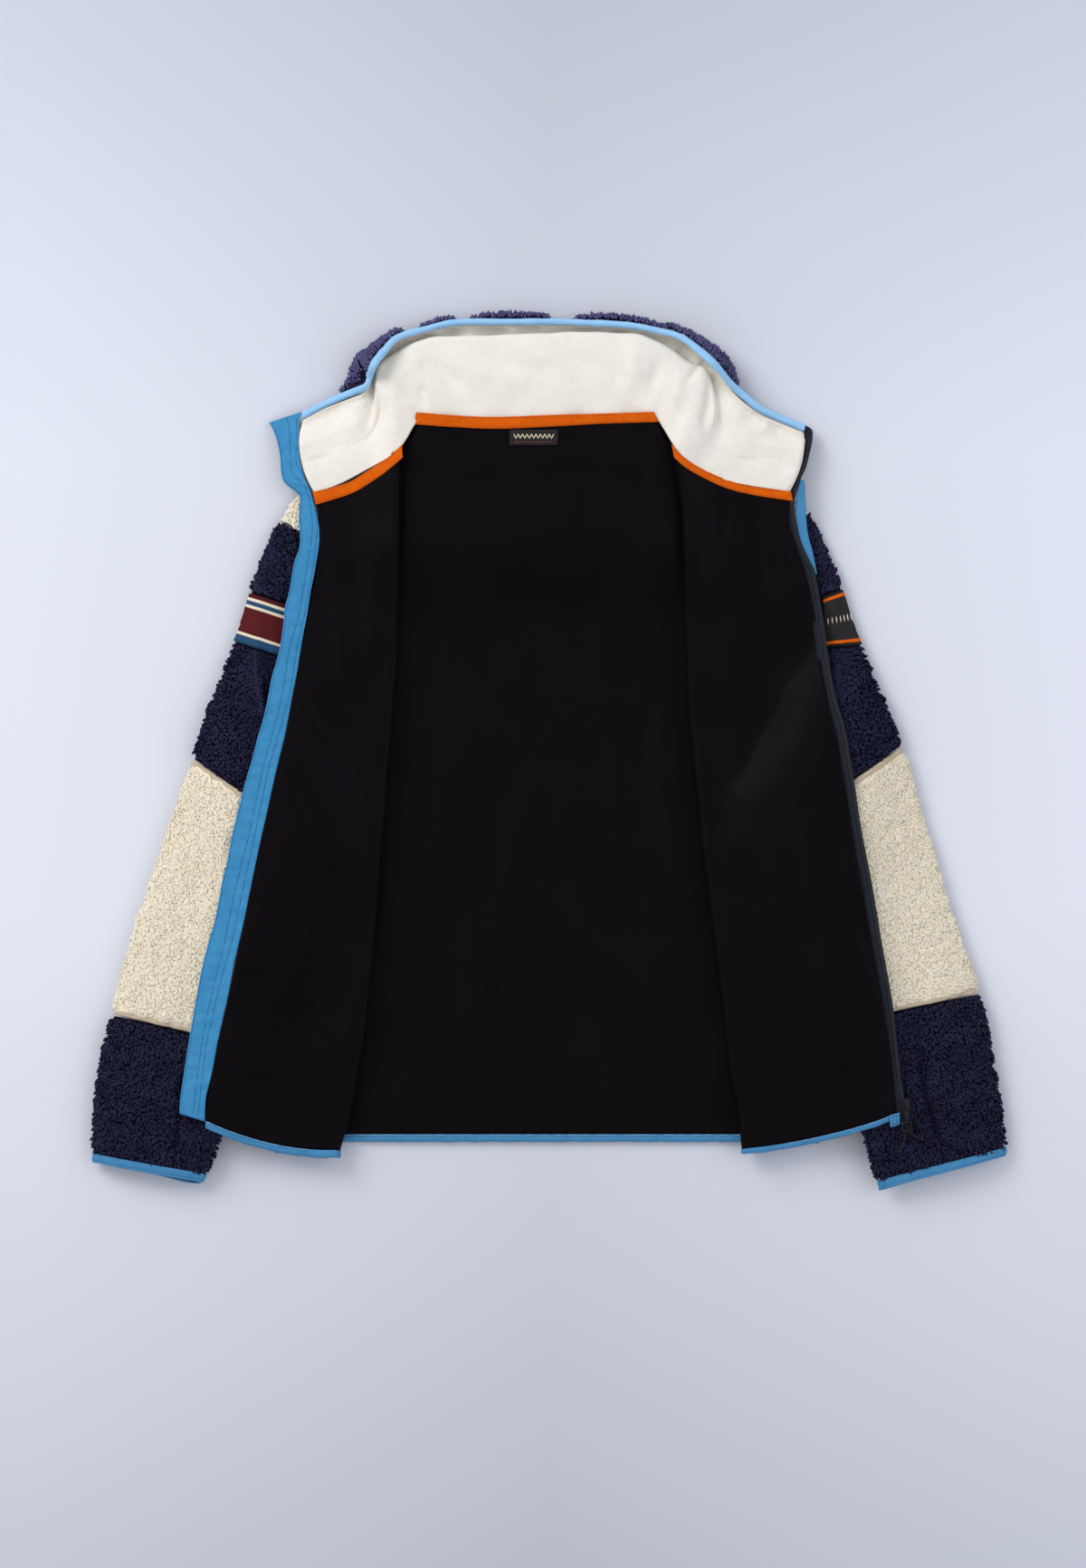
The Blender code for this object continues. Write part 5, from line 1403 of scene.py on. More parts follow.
def hood_keep(root, out):
    """Full locks where the pile reaches past the rim, none where the rim alone shows."""
    near = np.argmin(((root[:, None, :2] - rim_seen[None]) ** 2).sum(-1), axis=1)
    below = np.interp(near, np.arange(FIRST_SHOWN, END_SHOWN), rim_top[:, 0]) - root[:, 2]
    tucked = 0.4 * (below > 5)                                      # short locks under the tape, seen from behind
    past = np.maximum(np.clip((reach[near] - 3.6) / 1.6, 0, 1), tucked)
    return past * np.where(root[:, 2] < 3.5, 0.5, 1.0) * np.clip(below / 2.5 - 0.2, 0, 1)


# the hood's lock tips take the still lighter tip finish: painted highlight
hood_locks = pile_locks("hood_pile", bulge, bulge_out, 2.5, 4.6, 1.6, (0.0, 0.2, 0.1), [navy_pile, hood_highlight_tips],
                        71, keep=hood_keep)

# %% [markdown]
# ## Rim of the hood
# A narrow pale blue tape is folded over the edge of the hood.  It is the same kind of
# swept U as the hems, narrower and rounder, and it follows the edge all the way round
# to both ends of the collar.

# %% Rim tape
RIM_PROFILE = np.array([(-6.4, 2.2), (-3.5, 3.0), (-0.8, 2.6), (0.5, 1.0), (0.6, -1.4), (-0.6, -3.3), (-3.2, -4.6),
                        (-6.4, -4.6)])
RIM_POINTS = 320
t = np.linspace(0, HOOD_END, RIM_POINTS)
rim_line = cubic(hood_long[:, -1], t)
rim_back = unit(cubic(hood_long[:, -1] - hood_long[:, -2], t))
rim_up = -unit(cubic(normals(hood_long)[:, -1], t))
if rim_up[RIM_POINTS // 2, 1] > 0:
    rim_up = -rim_up
profile = np.repeat(RIM_PROFILE[None], RIM_POINTS, axis=0)
steep = np.sin(np.radians(np.interp(t, np.arange(len(HOOD)), [row[10] for row in HOOD])))
profile[..., 1] *= ((0.62 + 0.23 * steep) * (1 + pucker(RIM_POINTS, rim_line, 0.07, 10, 51)))[:, None]
rim_tape = sweep("rim_tape", rim_line, profile, rim_back, rim_up, pale_tape, ("hood_rim_binding",))
rim_stitches = threads("rim_stitches", [((rim_line - rim_back * 5.2 + rim_up * 1.75)[4:-4], rim_up[4:-4])], blue_thread,
                       "pale_blue_binding", radius=0.24)
cut_sheet(hood_shell, hood_grid, [hood_bulge, hood_locks, rim_tape, rim_stitches])

# %% [markdown]
# ## Tapes along the front edges
# The wearer's right edge carries a wide blue placket that lies open over the sleeve.
# Its outline is read from the picture; its height comes from the edge of the flap and,
# beside the collar, from the collar's end.  Rows of stitches press grooves into it and
# it puckers where it bends beside the neck.  The left edge carries the zip: a narrow
# dark tape with the moulded coil along it.

# %% Front edge heights
# outer edge of the tape on the opened front: x, y, from the hem to the neck
TAPE_EDGE = {
    "right": [(-353, -346), (-346, -296), (-331, -213), (-307, -104), (-297, -59), (-287, -18), (-279, 12),
              (-271.5, 44), (-261.5, 84), (-254, 128), (-245.5, 172), (-239, 209)],
    "left": [(341, -353), (335, -293), (321, -209), (302, -105), (294.5, -60), (287, -19), (282, 12), (274, 44),
             (267, 84), (261.5, 128), (252.5, 172), (238, 210)],
}
COLLAR_SHARES = (0.07, 0.28, 0.52, 0.76, 0.98)


def edge_heights(side):
    """(y, height of the inner edge, height of the outer edge) from the hem to the rim."""
    rows = []
    for (px, py), row in zip(TAPE_EDGE[side], FRONT[side]):
        rows.append((row[5], float(flap_z(side, row[4], row[5])), max(float(flap_z(side, px, py)) - 1.0, 8.0)))
    end = np.array(hood_section(HOOD[0] if side == "right" else HOOD[-1]))
    run = run_along(end)
    for f in COLLAR_SHARES:
        y, z = (float(np.interp(f * run[-1], run, end[:, k])) for k in (1, 2))
        rows.append((y, z, z - (6.0 if side == "right" else 1.0)))
    return np.array(rows)


def edge_tape(name, inner, outer, side, cols, material, nodes, grooves=(), folds=(), thick=1.8, rise=0.9,
              seed=61, puff=0.18, gathers=0.0):
    """A tape between two lines, lying at the height of the front's edge."""
    levels = edge_heights(side)
    n = len(inner)
    u = np.linspace(0, 1, cols)[None, :]
    plan = inner[:, None] + (outer - inner)[:, None] * u[..., None]
    width = np.linalg.norm(outer - inner, axis=1)[:, None]
    y = plan[..., 1]
    z = (np.interp(y, levels[:, 0], levels[:, 1]) * (1 - u) + np.interp(y, levels[:, 0], levels[:, 2]) * u) + rise
    d = u * width
    for at in grooves:
        away = d - at if at > 0 else width - d + at
        z = z - 0.30 * np.exp(-(away / 0.8) ** 2)
    z = z + creases(plan[..., 0], y, folds) + puff * waves(np.stack([plan[..., 0], y, 0 * y], -1), 7, seed)
    z = z + gathers * waves(np.stack([0.25 * plan[..., 0], y, 0 * y], -1), 8, seed + 3) * np.sin(math.pi * u) ** 0.5
    z = z - 0.45 * np.exp(-(d / 0.5) ** 2) - 0.45 * np.exp(-((width - d) / 0.5) ** 2)
    top = np.concatenate([plan, z[..., None]], axis=2)
    return shell(name, top, top - UP * thick, material, nodes), top


def along_tape(top, distance):
    """A stitch line on a tape, so many mm from its inner edge (negative: from its outer edge)."""
    width = np.linalg.norm(top[:, -1, :2] - top[:, 0, :2], axis=1)
    share = distance / width if distance > 0 else 1 + distance / width
    at = share * (top.shape[1] - 1)
    i = np.clip(at.astype(int), 0, top.shape[1] - 2)
    f = (at - i)[:, None]
    rows = np.arange(len(top))
    line = top[rows, i] * (1 - f) + top[rows, i + 1] * f + UP * 0.22
    return line[3:-3], UP


print("heights known along each front edge", {side: len(TAPE_EDGE[side]) + len(COLLAR_SHARES) for side in SIDES})

# %% Blue placket
PLACKET_OUTER = [(297.4, 467.4), (302.4, 476.2), (307, 489.8), (310, 505.8), (311.4, 523.8), (314, 532.8), (320, 538.8),
                 (328, 544.8), (332, 551.8), (331.6, 565), (330.8, 576), (332.6, 596), (331.2, 608), (326.8, 620),
                 (323.2, 638), (320.2, 656), (315.8, 672), (314.2, 690), (311.2, 712), (306.6, 732), (301.6, 750),
                 (298.6, 768), (293.6, 792), (286.6, 816), (281.6, 836), (274.6, 860), (269.6, 878), (264.6, 898),
                 (256.2, 934), (253.2, 952), (247.6, 974), (240.6, 1012), (231.6, 1044), (225, 1070), (220, 1096),
                 (213.6, 1132), (209, 1160), (205, 1186), (201.4, 1210), (200, 1229)]
PLACKET_INNER = [(334, 455.8), (331.5, 466), (331, 484), (331.5, 504), (334, 518), (338, 530), (343.5, 542), (348, 556),
                 (352, 574), (354, 588), (353.5, 604), (348.5, 634), (344.5, 654), (340.5, 680), (336.5, 700),
                 (332.6, 724), (329.6, 742), (323.6, 776), (318.6, 806), (312.6, 832), (307.6, 856), (302.6, 878),
                 (298.6, 898), (291.6, 926), (283.6, 964), (277.2, 994), (271.6, 1020), (263.6, 1054), (260, 1070),
                 (254.4, 1100), (249, 1122), (243, 1150), (237, 1182), (232.4, 1200), (229.4, 1214), (228.5, 1237.5)]
# the two rows of stitches near the inner edge, and the one close to the outer edge
PLACKET_ROWS = [
    [(328, 462), (328.4, 484), (328, 512), (333, 522), (341, 537), (347, 555), (351, 575), (351.4, 590), (346.2, 634),
     (337.6, 680), (328.6, 722), (322.6, 764), (313.6, 800), (299.6, 848), (289, 898), (281.6, 934), (270, 986),
     (258.6, 1040), (248.2, 1076), (238, 1118), (231, 1150), (225.6, 1190), (221, 1231)],
    [(317.5, 463), (320, 474), (321, 490), (322, 514), (325, 526), (332, 532), (339, 541), (343.8, 560), (346, 590),
     (339.2, 634), (331.2, 680), (320.6, 720), (314.6, 764), (306.2, 800), (293.2, 848), (282.4, 898), (274.6, 934),
     (261.6, 986), (250.6, 1040), (241.8, 1076), (231.6, 1118), (225.6, 1150), (220, 1190), (215.6, 1229)],
]
PLACKET_FOLDS = [
    (-0.8, 1.0, (323, 518), (331, 521)), (-0.8, 0.9, (322, 523), (333, 526)), (0.6, 1.2, (321, 526), (334, 529)),
    (-0.9, 1.0, (320, 530), (336, 532)), (0.7, 1.4, (322, 534), (341, 537)), (-0.8, 1.1, (326, 537), (343, 541)),
    (0.6, 1.6, (328, 543), (347, 547)), (-0.6, 1.4, (331, 549), (349, 551)), (-0.5, 1.5, (330, 562), (352, 566)),
    (-0.6, 1.2, (331, 601), (353, 603)), (0.5, 1.8, (330, 606), (352, 609)), (-0.5, 1.2, (320, 652), (331, 655)),
    (-0.5, 1.2, (314, 668), (338, 676)), (-0.7, 1.2, (300, 751), (326, 754)), (0.5, 2.0, (299, 757), (324, 761)),
    (-0.5, 1.2, (292, 789), (318, 793)), (-0.4, 1.4, (280, 845), (306, 849)), (-0.5, 1.2, (268, 882), (296, 886)),
    (-0.9, 1.2, (256, 934), (282, 941)), (0.7, 2.2, (254, 945), (284, 950)), (-0.9, 1.2, (247, 970), (280, 976)),
    (0.6, 2.2, (245, 982), (276, 988)), (-0.5, 1.2, (242, 996), (270, 999)), (-0.8, 1.2, (240, 1006), (270, 1010)),
    (0.5, 2.2, (236, 1018), (266, 1022)), (-0.5, 1.3, (231, 1046), (262, 1050)), (-0.4, 1.3, (226, 1071), (256, 1074)),
    (-0.4, 1.3, (218, 1108), (250, 1112)), (-0.5, 1.3, (206, 1186), (222, 1190)), (-0.4, 1.3, (203, 1208), (228, 1212)),
    (0.8, 7, (300, 475), (310, 510)), (-0.5, 5, (325, 480), (326, 512)),
]
PLACKET_FOLDS += [(-0.42, 0.85, *row) for row in PLACKET_ROWS]
outer, inner = smooth_line(spots(*PLACKET_OUTER), 290), smooth_line(spots(*PLACKET_INNER), 290)
# the placket takes the lighter copy of the blue tape: painted light
placket, placket_top = edge_tape("placket_tape", inner, outer, "right", 30, painted_lighter_placket,
                                 ("placket_right", "zip_tape_right"), (), PLACKET_FOLDS, gathers=0.34)


def on_grid(grid, line, lift):
    """A line drawn in the plan, laid on the nearest points of a grid."""
    flat = grid.reshape(-1, 3)
    near = np.argmin(((line[:, None] - flat[None, :, :2]) ** 2).sum(-1), axis=1)
    z = np.convolve(np.pad(flat[near, 2], 2, "edge"), np.ones(5) / 5, "valid")
    return np.concatenate([line, z[:, None] + lift], axis=1)


rows = [(on_grid(placket_top, smooth_line(spots(*row), 420), 0.22), UP) for row in PLACKET_ROWS]
placket_stitches = threads("placket_stitches", rows + [along_tape(placket_top, -1.5)], blue_thread, "blue_tape",
                           pitch=2.7, length=2.0, radius=0.33)
under = placket_top[::2, 2:26:2]
zip_underlay = shell("placket_zip_tape", under - UP * 2.1, under - UP * 3.2, dark_tape)


def state_front(side, edge_pieces):
    """State both cloths of a front as sheets; the edge pieces are not used."""
    lining, pile, lining_grid, pile_grid = front_cloth[side]
    cut_sheet(lining, lining_grid)
    cut_sheet(pile, pile_grid, hem_pieces[side] + edge_pieces)


state_front("right", [placket, placket_stitches, zip_underlay])

# %% Zip on the left front
ZIP_OUTER = [(890, 471), (897, 476), (897, 487), (895, 497), (890, 517), (885, 528), (881, 540), (877, 555), (877, 568),
             (880, 584), (883, 597), (889, 611), (896, 625), (900, 635), (908, 680), (914, 725), (921, 768), (932, 806),
             (938, 840), (943, 873), (950, 919), (961, 975), (972, 1040), (983, 1100), (988, 1138), (994, 1190),
             (1003, 1240)]
zip_outer = smooth_line(spots(*ZIP_OUTER), 320)
way = unit(np.gradient(zip_outer, axis=0))
zip_inner = zip_outer + np.stack([way[:, 1], -way[:, 0]], 1) * 10.5
zip_tape, zip_top = edge_tape("zip_tape_cloth", zip_inner, zip_outer, "left", 14, dark_tape,
                              ("zip_tape_left",), (4.8,), (), thick=1.5, rise=0.7, seed=66, puff=0.12)
chain, _ = along_tape(zip_top, -2.2)
across = unit(np.cross(np.gradient(chain, axis=0), UP))
teeth_at = even(np.concatenate([chain, across], axis=1), int(path_length(chain) / 1.45))
tooth, half_tooth = teeth_at[:, :3], teeth_at[:, 3:] * 1.7
zip_coil = bars("zip_coil", tooth - half_tooth + UP * 0.5, tooth + half_tooth + UP * 0.5, UP, 0.52, 1.5,
                coil_plastic, "dark_metal")
zip_stitches = threads("zip_stitches", [along_tape(zip_top, 4.6)], blue_thread, "dark_tape", pitch=3.0, length=2.0,
                       radius=0.2)
FACING = [(239.5, 258, 4.5), (236, 240, 9.0), (236, 225, 9.5), (238, 208, 9.0), (244, 188, 8.0), (252, 168, 4.0)]
strip = cubic(np.array(FACING), np.linspace(0, 5, 40))
z = flap_z("left", strip[:, 0], strip[:, 1]) - 1.4
u = np.linspace(0, 1, 8)[None, :]
top = np.stack([strip[:, :1] + strip[:, 2:] * u, strip[:, 1:2] + 0 * u,
                z[:, None] - 0.4 * u ** 2 - 0.3 * (u > 0.95)], -1)
facing_strip = shell("facing_strip_cloth", top, top - UP * 1.0, blue_tape, ("facing_strip_left",))
state_front("left", [zip_tape, zip_coil, zip_stitches, facing_strip])
print("zip teeth", len(teeth_at))

# %% [markdown]
# ## Neck tape and label
# An orange twill tape covers the seam where the hood joins the neck.  It is sewn along
# both edges, so it is slightly crowned between two stitch rows.  Under it sits a small
# woven label; this one carries a plain zigzag over a row of dashes.


# %% Neck tapes
def flat_tape(name, upper_line, lower_line, height, rows, cols, material, slot, nodes, thick=1.0, crown=0.35, seed=81):
    """A tape between two lines drawn on the cloth, its height given by a function of x, y."""
    a, b = smooth_line(spots(*upper_line), rows), smooth_line(spots(*lower_line), rows)
    u = np.linspace(0, 1, cols)[None, :, None]
    plan = a[:, None] + (b - a)[:, None] * u
    z = height(plan[..., 0], plan[..., 1], u[..., 0]) + crown * np.sin(math.pi * u[..., 0]) ** 0.5
    z = z + 0.15 * waves(np.concatenate([plan, z[..., None]], -1), 8, seed)
    top = np.concatenate([plan, z[..., None]], axis=2)
    return shell(name, top, top - UP * thick, material, nodes), top


def on_back(x, y, u):
    return Z_BACK + pouch_lift(x, y) + GAP + LINING + 1.5 + 2.4 * (1 - u)


def on_flap(side):
    return lambda x, y, u: flap_z(side, x, y) + GAP + LINING + 0.9 + 0.8 * (1 - u)


NECK_TAPES = {
    "back": ([(461, 457.5), (513, 461.5), (553, 462.5), (620, 460), (660, 459), (722, 457)],
             [(456.5, 470.5), (500, 473.5), (553, 475.5), (620, 472.5), (664, 470), (727, 468)]),
    "right": ([(346.5, 545), (370, 539.5), (390, 532.5), (415, 517), (430, 507.5), (445, 494)],
              [(350, 559), (372, 552.5), (394, 544.5), (418, 530), (433, 519), (446, 508)]),
    "left": ([(741, 493), (755, 507.5), (775, 520), (800, 530.5), (825, 538), (873, 544.5)],
             [(744, 508), (757, 519), (777, 530), (801, 540.5), (830, 548), (875, 555)]),
}
rows = []
for part, lines in NECK_TAPES.items():
    height, count, seed = (on_back, 120, 81) if part == "back" else (on_flap(part), 70, 84)
    _, top = flat_tape(f"neck_tape_{part}_cloth", *lines, height, count, 12, orange_tape, "orange_tape",
                       (f"neck_tape_{part}",), seed=seed)
    rows += [along_tape(top, 1.3), along_tape(top, -1.5)]
threads("neck_stitches", rows, orange_thread, "orange_tape", pitch=3.0, length=2.0, radius=0.26)

# %% Neck label
x0, x1, y0, y1 = -38.0, 8.2, 291.2, 306.0
x, y = np.meshgrid(np.linspace(x0, x1, 40), np.linspace(y1, y0, 16), indexing="ij")
z = Z_BACK + pouch_lift(x, y) + GAP + LINING + 1.9 + 0.12 * waves(np.stack([x, y, 0 * x], -1), 12, 91)
label_top = np.stack([x, y, z], -1)
neck_label = shell("neck_label_cloth", label_top, label_top - UP * 0.8, dark_patch, ("neck_label",))


def on_label(x, y):
    return np.stack([x, y, Z_BACK + pouch_lift(x, y) + GAP + LINING + 2.15], -1)


zig_x = np.linspace(x0 + 4, x1 - 4, 19)
zig = on_label(zig_x, 299.6 + 2.3 * (-1) ** np.arange(19))
bars("label_zigzag", zig[:-1], zig[1:], UP, 0.55, 0.5, stripe_cream, "cream_pile")
dash_x = np.linspace(x0 + 5, x1 - 7.5, 10)
dash_y = 294.4 + 0 * dash_x
bars("label_dashes", on_label(dash_x, dash_y), on_label(dash_x + 2.2, dash_y), UP, 0.35, 0.5, orange_thread,
     "orange_tape")
print("label", neck_label.name)

# %% [markdown]
# ## Yokes, seam tapes, cuffs and patches
# A cream strip runs from the top of each sleeve to the neck.  Where navy meets cream
# the seam is covered by a narrow beige tape with close crosswise stitches.  The cuffs
# end in the same blue tape as the hem.  The patches sit on the pile and hold it down
# underneath; their stripes and blocks are plain ones.

# %% Yokes
YOKE = {"right": [(-236.5, 209.5, -257.0, 220.5), (-226, 219, -243, 241), (-212, 230, -226, 254),
                  (-192, 247, -202, 268), (-172, 264, -178, 280.2), (-154, 279.5, -156, 290.5)],
        "left": [(233.5, 210.5, 245.5, 226.0), (222, 219, 236, 242), (206, 229, 219, 256), (182, 245.5, 190, 270),
                 (158, 261, 163, 281), (132, 278, 134, 292)]}
for side in SIDES:
    coarse = np.array([[(lx + (ux - lx) * f, ly + (uy - ly) * f, 0) for f in (0, 0.5, 1)]
                       for lx, ly, ux, uy in YOKE[side]])
    grid = refine(coarse, 60, 16)
    x, y, f = grid[..., 0], grid[..., 1], np.linspace(0, 1, 16)[None, :]
    grid[..., 2] = Z_SEAM + 0.3 + (Z_FRONT - Z_SEAM) * (1 - f) * 0.6 + pouch_lift(x, y)
    face = grid + UP * (SHERPA - 0.9 - 1.5 * np.exp(-(f / 0.15) ** 2) - 1.2 * np.exp(-((1 - f) / 0.15) ** 2))[..., None]
    cloth = shell(f"yoke_{side}_cloth", face, grid, cream_pile, (f"yoke_{side}",))
    lean = (-0.45 if side == "right" else 0.45, -0.5, 0)
    locks = pile_locks(f"yoke_{side}_pile", face, np.broadcast_to(UP, face.shape), 2.7, 1.8, 2.5, lean, CREAM,
                       87)
    cut_sheet(cloth, grid, [locks])

# %% Seam tapes
for side in SIDES:
    for label, (grid, facing) in zip(("upper", "lower"), seam_tapes[side]):
        bow = 0.3 * np.sin(np.linspace(0, math.pi, len(grid)))[:, None, None]
        top = grid + facing * (0.5 + bow)
        name = f"seam_tape_{side}_{label}"
        shell(name, top, grid - facing * 0.3, beige_tape)
        count = int(path_length(top[2]) / 1.7)
        first = even(np.concatenate([top[0], facing[0]], axis=1), count)
        last = even(top[-1], count)
        a, b = first[1:, :3], last[:-1]
        bars(name + "_stitches", a * 0.85 + b * 0.15, a * 0.15 + b * 0.85, first[1:, 3:], 0.34, 0.8, beige_thread,
             "cream_pile")
print("seam tapes on both sleeves")

# %% Cuff tapes
CUFF_COLS, CUFF_ROWS = 96, 12
for side in SIDES:
    t = np.linspace(CUFF, CUFF + 1, CUFF_ROWS)
    outer, inner = (ring_grid(side, t, shrink, CUFF_COLS) for shrink in (0.0, SHERPA))
    facing = ring_normals(outer)
    u = np.linspace(0, 1, CUFF_ROWS)[:, None]
    puff = (0.75 * np.sin(math.pi * u) ** 0.5 - 0.35 + 0.28 * waves(outer, 6, 55)
            - 0.35 * np.exp(-((u - 0.22) / 0.1) ** 2))
    outer = outer + facing * puff[..., None]
    down = unit(outer[-1].mean(axis=0) - outer[0].mean(axis=0))
    around = np.arange(CUFF_COLS)[None, :] / CUFF_COLS
    hang = (3.0 if side == "right" else 1.4) * u * np.exp(-((around - 0.10) / 0.13) ** 2)
    near_inner = u * np.exp(-(np.minimum(around, 1 - around) / 0.09) ** 2)
    if side == "right":
        aside = np.array([-5.2, 1.0, 0]) * near_inner[..., None]
    else:
        aside = np.array([-2.8, 0, 0]) * u[..., None]
    outer, inner = outer + down * hang[..., None] + aside, inner + down * hang[..., None] + aside
    outer[..., 2] = np.maximum(outer[..., 2], 0.4)
    ring_shell(f"cuff_tape_{side}", outer, inner, blue_tape, "blue_tape", (f"cuff_binding_{side}",))
    top_half = slice(CUFF_COLS // 2 + 1, CUFF_COLS - 1)
    line, up = outer[3, top_half] * 0.6 + outer[2, top_half] * 0.4 + facing[2, top_half] * 0.15, facing[2, top_half]
    threads(f"cuff_stitches_{side}", [(line, up)], blue_thread, "blue_tape", pitch=3.0, length=2.1, radius=0.3)
print("cuff tapes", CUFF_ROWS, "by", CUFF_COLS)


# %% Patches
def on_patch(side, v, u, lift):
    """Points on a patch: v from its lower to its upper edge, u from its inner to its outer edge."""
    grid, facing = patches[side]
    both = np.concatenate([grid, facing], axis=2)
    at = np.swapaxes(cubic(np.swapaxes(cubic(both, np.asarray(v) * (len(grid) - 1)), 0, 1),
                           np.asarray(u) * (grid.shape[1] - 1)), 0, 1)
    return at[..., :3] + unit(at[..., 3:]) * lift


def patch_strip(name, side, v, u, material, lift=2.45, rows=4, cols=36):
    top = on_patch(side, np.linspace(*v, rows), np.linspace(*u, cols), lift)
    low = on_patch(side, np.linspace(*v, rows), np.linspace(*u, cols), 2.0)
    return shell(name, top, low, material)


PATCH_SLOT = {"right": "maroon_patch", "left": "dark_tape"}
PATCH_STRIPS = {"right": [((0.00, 0.16), (0, 1), stripe_navy), ((0.16, 0.22), (0, 1), stripe_cream),
                          ((0.72, 0.78), (0, 1), stripe_cream), ((0.78, 0.86), (0, 1), stripe_navy),
                          ((0.86, 0.92), (0, 1), stripe_cream)],
                "left": [((0.05, 0.11), (0, 1), orange_tape), ((0.89, 0.95), (0, 1), orange_tape)]}
for side in SIDES:
    v, u = np.linspace(0, 1, 26), np.linspace(0, 1, 40)
    rim = np.minimum(np.minimum(v, 1 - v)[:, None] / 0.05, np.minimum(u, 1 - u)[None, :] / 0.04)
    drop = 0.5 * np.clip(1 - rim, 0, 1) ** 2
    top = on_patch(side, v, u, 2.2) - patches[side][1][:1, :1] * drop[..., None]
    shell(f"patch_{side}_cloth", top, on_patch(side, v, u, 1.1), maroon_cloth if side == "right" else dark_patch,
          (f"patch_sleeve_{side}",))
    for k, (v, u, material) in enumerate(PATCH_STRIPS[side]):
        patch_strip(f"patch_{side}_strip_{k + 1}", side, v, u, material)
    up = patches[side][1][15, 20]
    rows = [(on_patch(side, [v], np.linspace(0.02, 0.98, 60), 2.5)[0], up) for v in (0.03, 0.97)]
    rows.append((on_patch(side, np.linspace(0.03, 0.97, 40), [0.03], 2.5)[:, 0], up))
    threads(f"patch_{side}_stitches", rows, dark_tape, PATCH_SLOT[side], pitch=1.7, length=1.3, radius=0.25)
marks = [on_patch("left", [v], np.linspace(0.12, 0.86, 9), 2.45)[0] for v in (0.44, 0.56)]
bars("patch_left_marks", *marks, patches["left"][1][15, 20], 0.7, 0.4, stripe_cream, "dark_tape")
print("patches with", sum(len(p) for p in PATCH_STRIPS.values()), "strips")

# %% [markdown]
# ## Slider, pull and end of the hem
# The slider rests at the bottom of the open zip: a tapered body round the coil, a small
# tab, a rectangular clip and a short cord with two ends.  Beside it the hem tape of the
# left front is folded over and sewn down.


# %% Slider and pull
CORD_POINTS = 24


def slab(name, outline, layers, material, nodes=()):
    """A closed solid from one plan outline: layers of (how far drawn in, height)."""
    outline = np.asarray(outline, float)
    out = unit(outline - outline.mean(axis=0))
    points = np.concatenate([np.concatenate([outline - out * inset, np.full((len(outline), 1), z)], axis=1)
                             for inset, z in layers])
    n = len(outline)
    faces = [list(f) for f in quads(len(layers), n, True).tolist()]
    faces += [list(range(n))[::-1], [(len(layers) - 1) * n + k for k in range(n)]]
    return add_piece(name, points, faces, material, nodes)


def rounded(centre, size, corner, taper=0.0, turn=0.0, count=5):
    """Plan outline of a box with round corners; taper narrows its lower end."""
    (cx, cy), (w, h) = centre, size
    path = []
    for sx, sy, start in ((1, 1, 0), (-1, 1, 90), (-1, -1, 180), (1, -1, 270)):
        half = w / 2 * (1 - (taper if sy < 0 else 0))
        for a in np.radians(np.linspace(start, start + 90, count)):
            path.append((sx * (half - corner) + corner * math.cos(a), sy * (h / 2 - corner) + corner * math.sin(a)))
    path, q = np.array(path), math.radians(turn)
    return path @ np.array([[math.cos(q), math.sin(q)], [-math.sin(q), math.cos(q)]]) + (cx, cy)


def tube(name, paths, radius, material, nodes=(), sides=8):
    """Round cords along several paths, as one piece."""
    turn = np.arange(sides) * 2 * math.pi / sides
    points, faces, start = [], [], 0
    for path in paths:
        path = smooth_line(np.asarray(path, float), CORD_POINTS)
        way = unit(np.gradient(path, axis=0))
        across = unit(np.cross(way, UP))
        rise = np.cross(across, way)
        swell = radius * np.array([0.5, 0.9] + [1.0] * (CORD_POINTS - 4) + [0.9, 0.5])[:, None, None]
        spokes = across[:, None] * np.cos(turn)[None, :, None] + rise[:, None] * np.sin(turn)[None, :, None]
        ring = path[:, None] + spokes * swell
        points.append(ring.reshape(-1, 3))
        faces += quads(CORD_POINTS, sides, True, start).tolist()
        end = start + (CORD_POINTS - 1) * sides
        faces += [[start + k for k in range(sides)][::-1], [end + k for k in range(sides)]]
        start += CORD_POINTS * sides
    points = np.concatenate(points)
    return add_piece(name, points, faces, material, nodes)


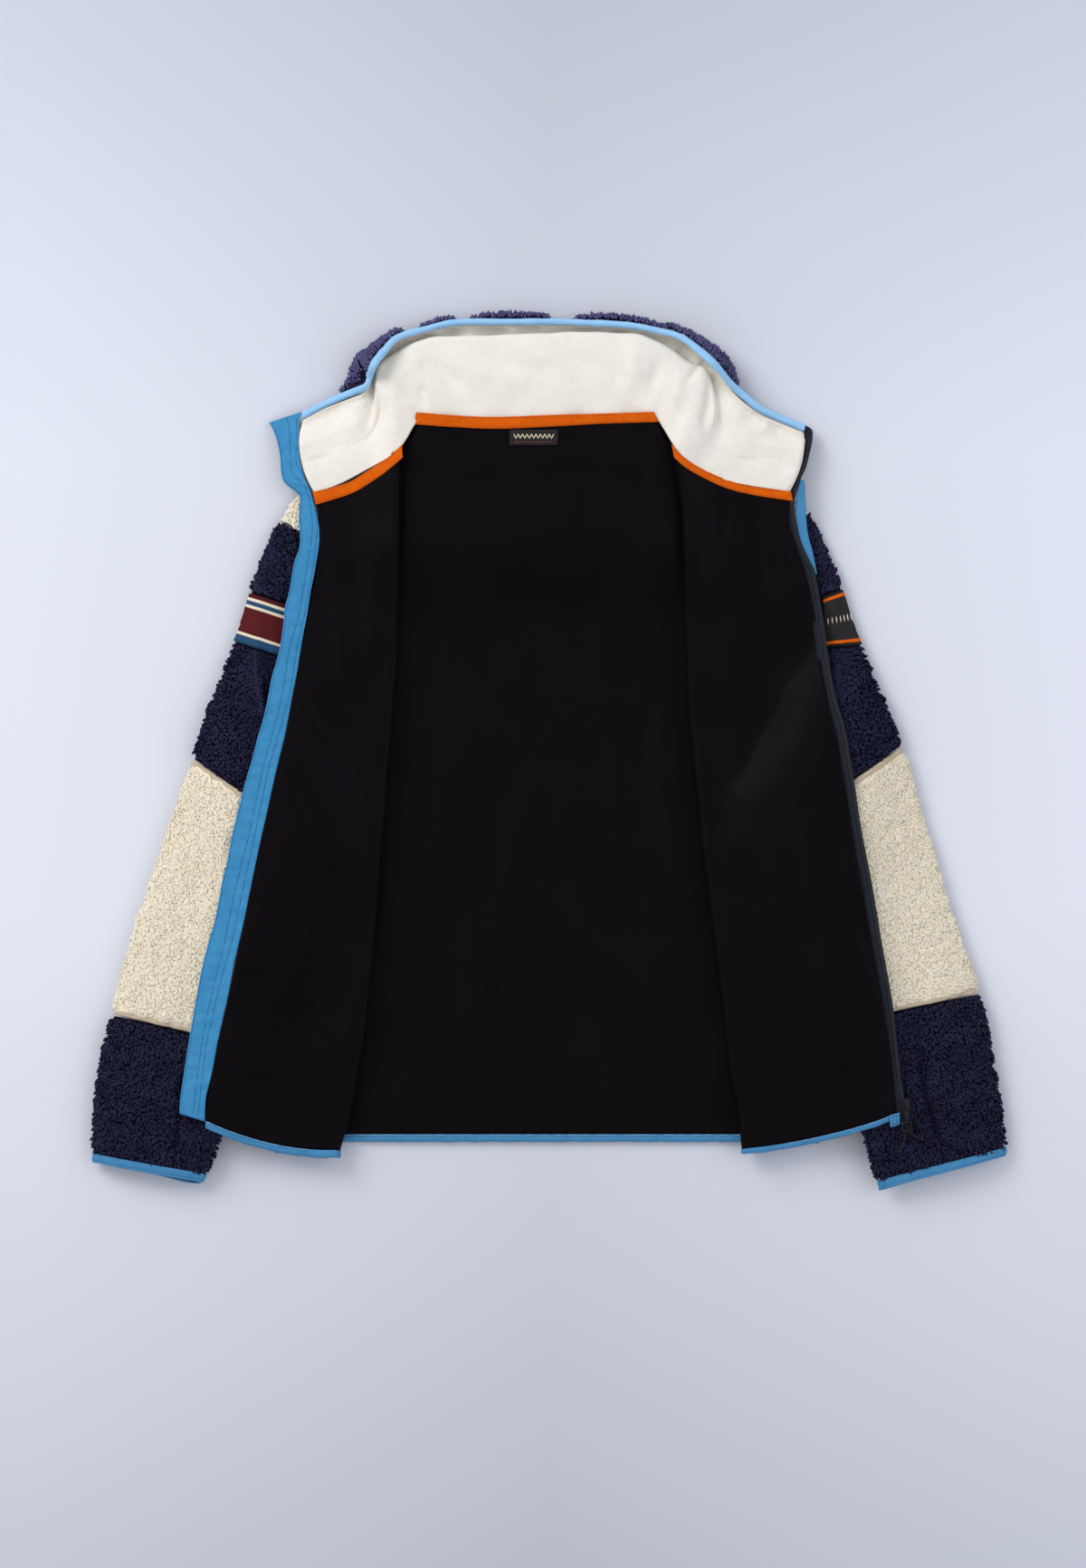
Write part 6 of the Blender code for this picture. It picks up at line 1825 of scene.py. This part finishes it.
tape_z = float(flap_z("left", 336, -340))
pull_z = tape_z + 2.2
slab("slider_body", rounded((341.6, -338.8), (6.4, 13.0), 1.8, 0.25, 8),
     [(0.4, tape_z + 1.2), (0, tape_z + 1.7), (0, tape_z + 4.2), (0.5, tape_z + 4.8), (1.4, tape_z + 5.2)],
     slider_metal, ("zip_slider",))
slab("slider_bridge", rounded((341.2, -339.6), (2.2, 8.0), 0.9, 0.0, 8),
     [(0, tape_z + 5.0), (0, tape_z + 5.9), (0.5, tape_z + 6.3)], slider_metal)
slab("pull_tab", rounded((341.0, -350.2), (4.2, 12.0), 1.2, 0.1, 4),
     [(0.3, pull_z), (0, pull_z + 0.3), (0, pull_z + 1.2), (0.4, pull_z + 1.6)], slider_metal)
walls = []
for size, corner in (((10.4, 10.0), 1.2), ((6.6, 6.2), 0.6)):
    outline = rounded((340.8, -359.6), size, corner, 0.0, 3)
    walls.append(np.stack([np.concatenate([outline, np.full((len(outline), 1), z)], axis=1)
                           for z in (pull_z, pull_z + 0.9, pull_z + 1.9)]))
ring_shell("pull_clip", *walls, pull_plastic, "dark_metal", ("zip_pull",))
cord_z = sleeve_tops["left", "lower"][0][..., 2].max() + 4.2
tube("pull_cord", [[(341.0, -358.0, pull_z + 1.0), (340.0, -364.5, pull_z + 0.4), (338.0, -372.0, cord_z),
                    (334.6, -384.4, cord_z - 1.0)],
                   [(341.6, -358.0, pull_z + 1.2), (344.0, -364.6, pull_z + 0.6), (350.0, -369.0, cord_z + 0.6),
                    (357.2, -372.0, cord_z + 0.2)]], 0.95, pull_plastic, ("zip_cord",))


# %% Folded end of the hem tape
def over_hem(x, y, u):
    return flap_z("left", x, y) + 2.9 + 0.4 * np.sin(math.pi * u)


_, top = flat_tape("hem_end_fold", [(980.5, 1230.5), (986, 1229), (991.5, 1227.5)],
                   [(981.5, 1243.5), (987, 1242.5), (992, 1240.5)], over_hem, 14, 14, blue_tape, "blue_tape", (),
                   thick=1.4)
sewn = [(line + UP * 0.25, UP) for line in (top[2:-2, 2], top[2:-2, -3], top[4, 2:-2], top[9, 2:-2])]
threads("hem_end_stitches", sewn, blue_thread, "blue_tape", pitch=2.2, length=1.6, radius=0.26)
print("slider, clip, cord and folded hem end")

# %% [markdown]
# ## End
# The size of the box round everything visible is printed.

# %% End
low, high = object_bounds()
print("visual size", [round(b - a, 4) for a, b in zip(low, high)], "m")
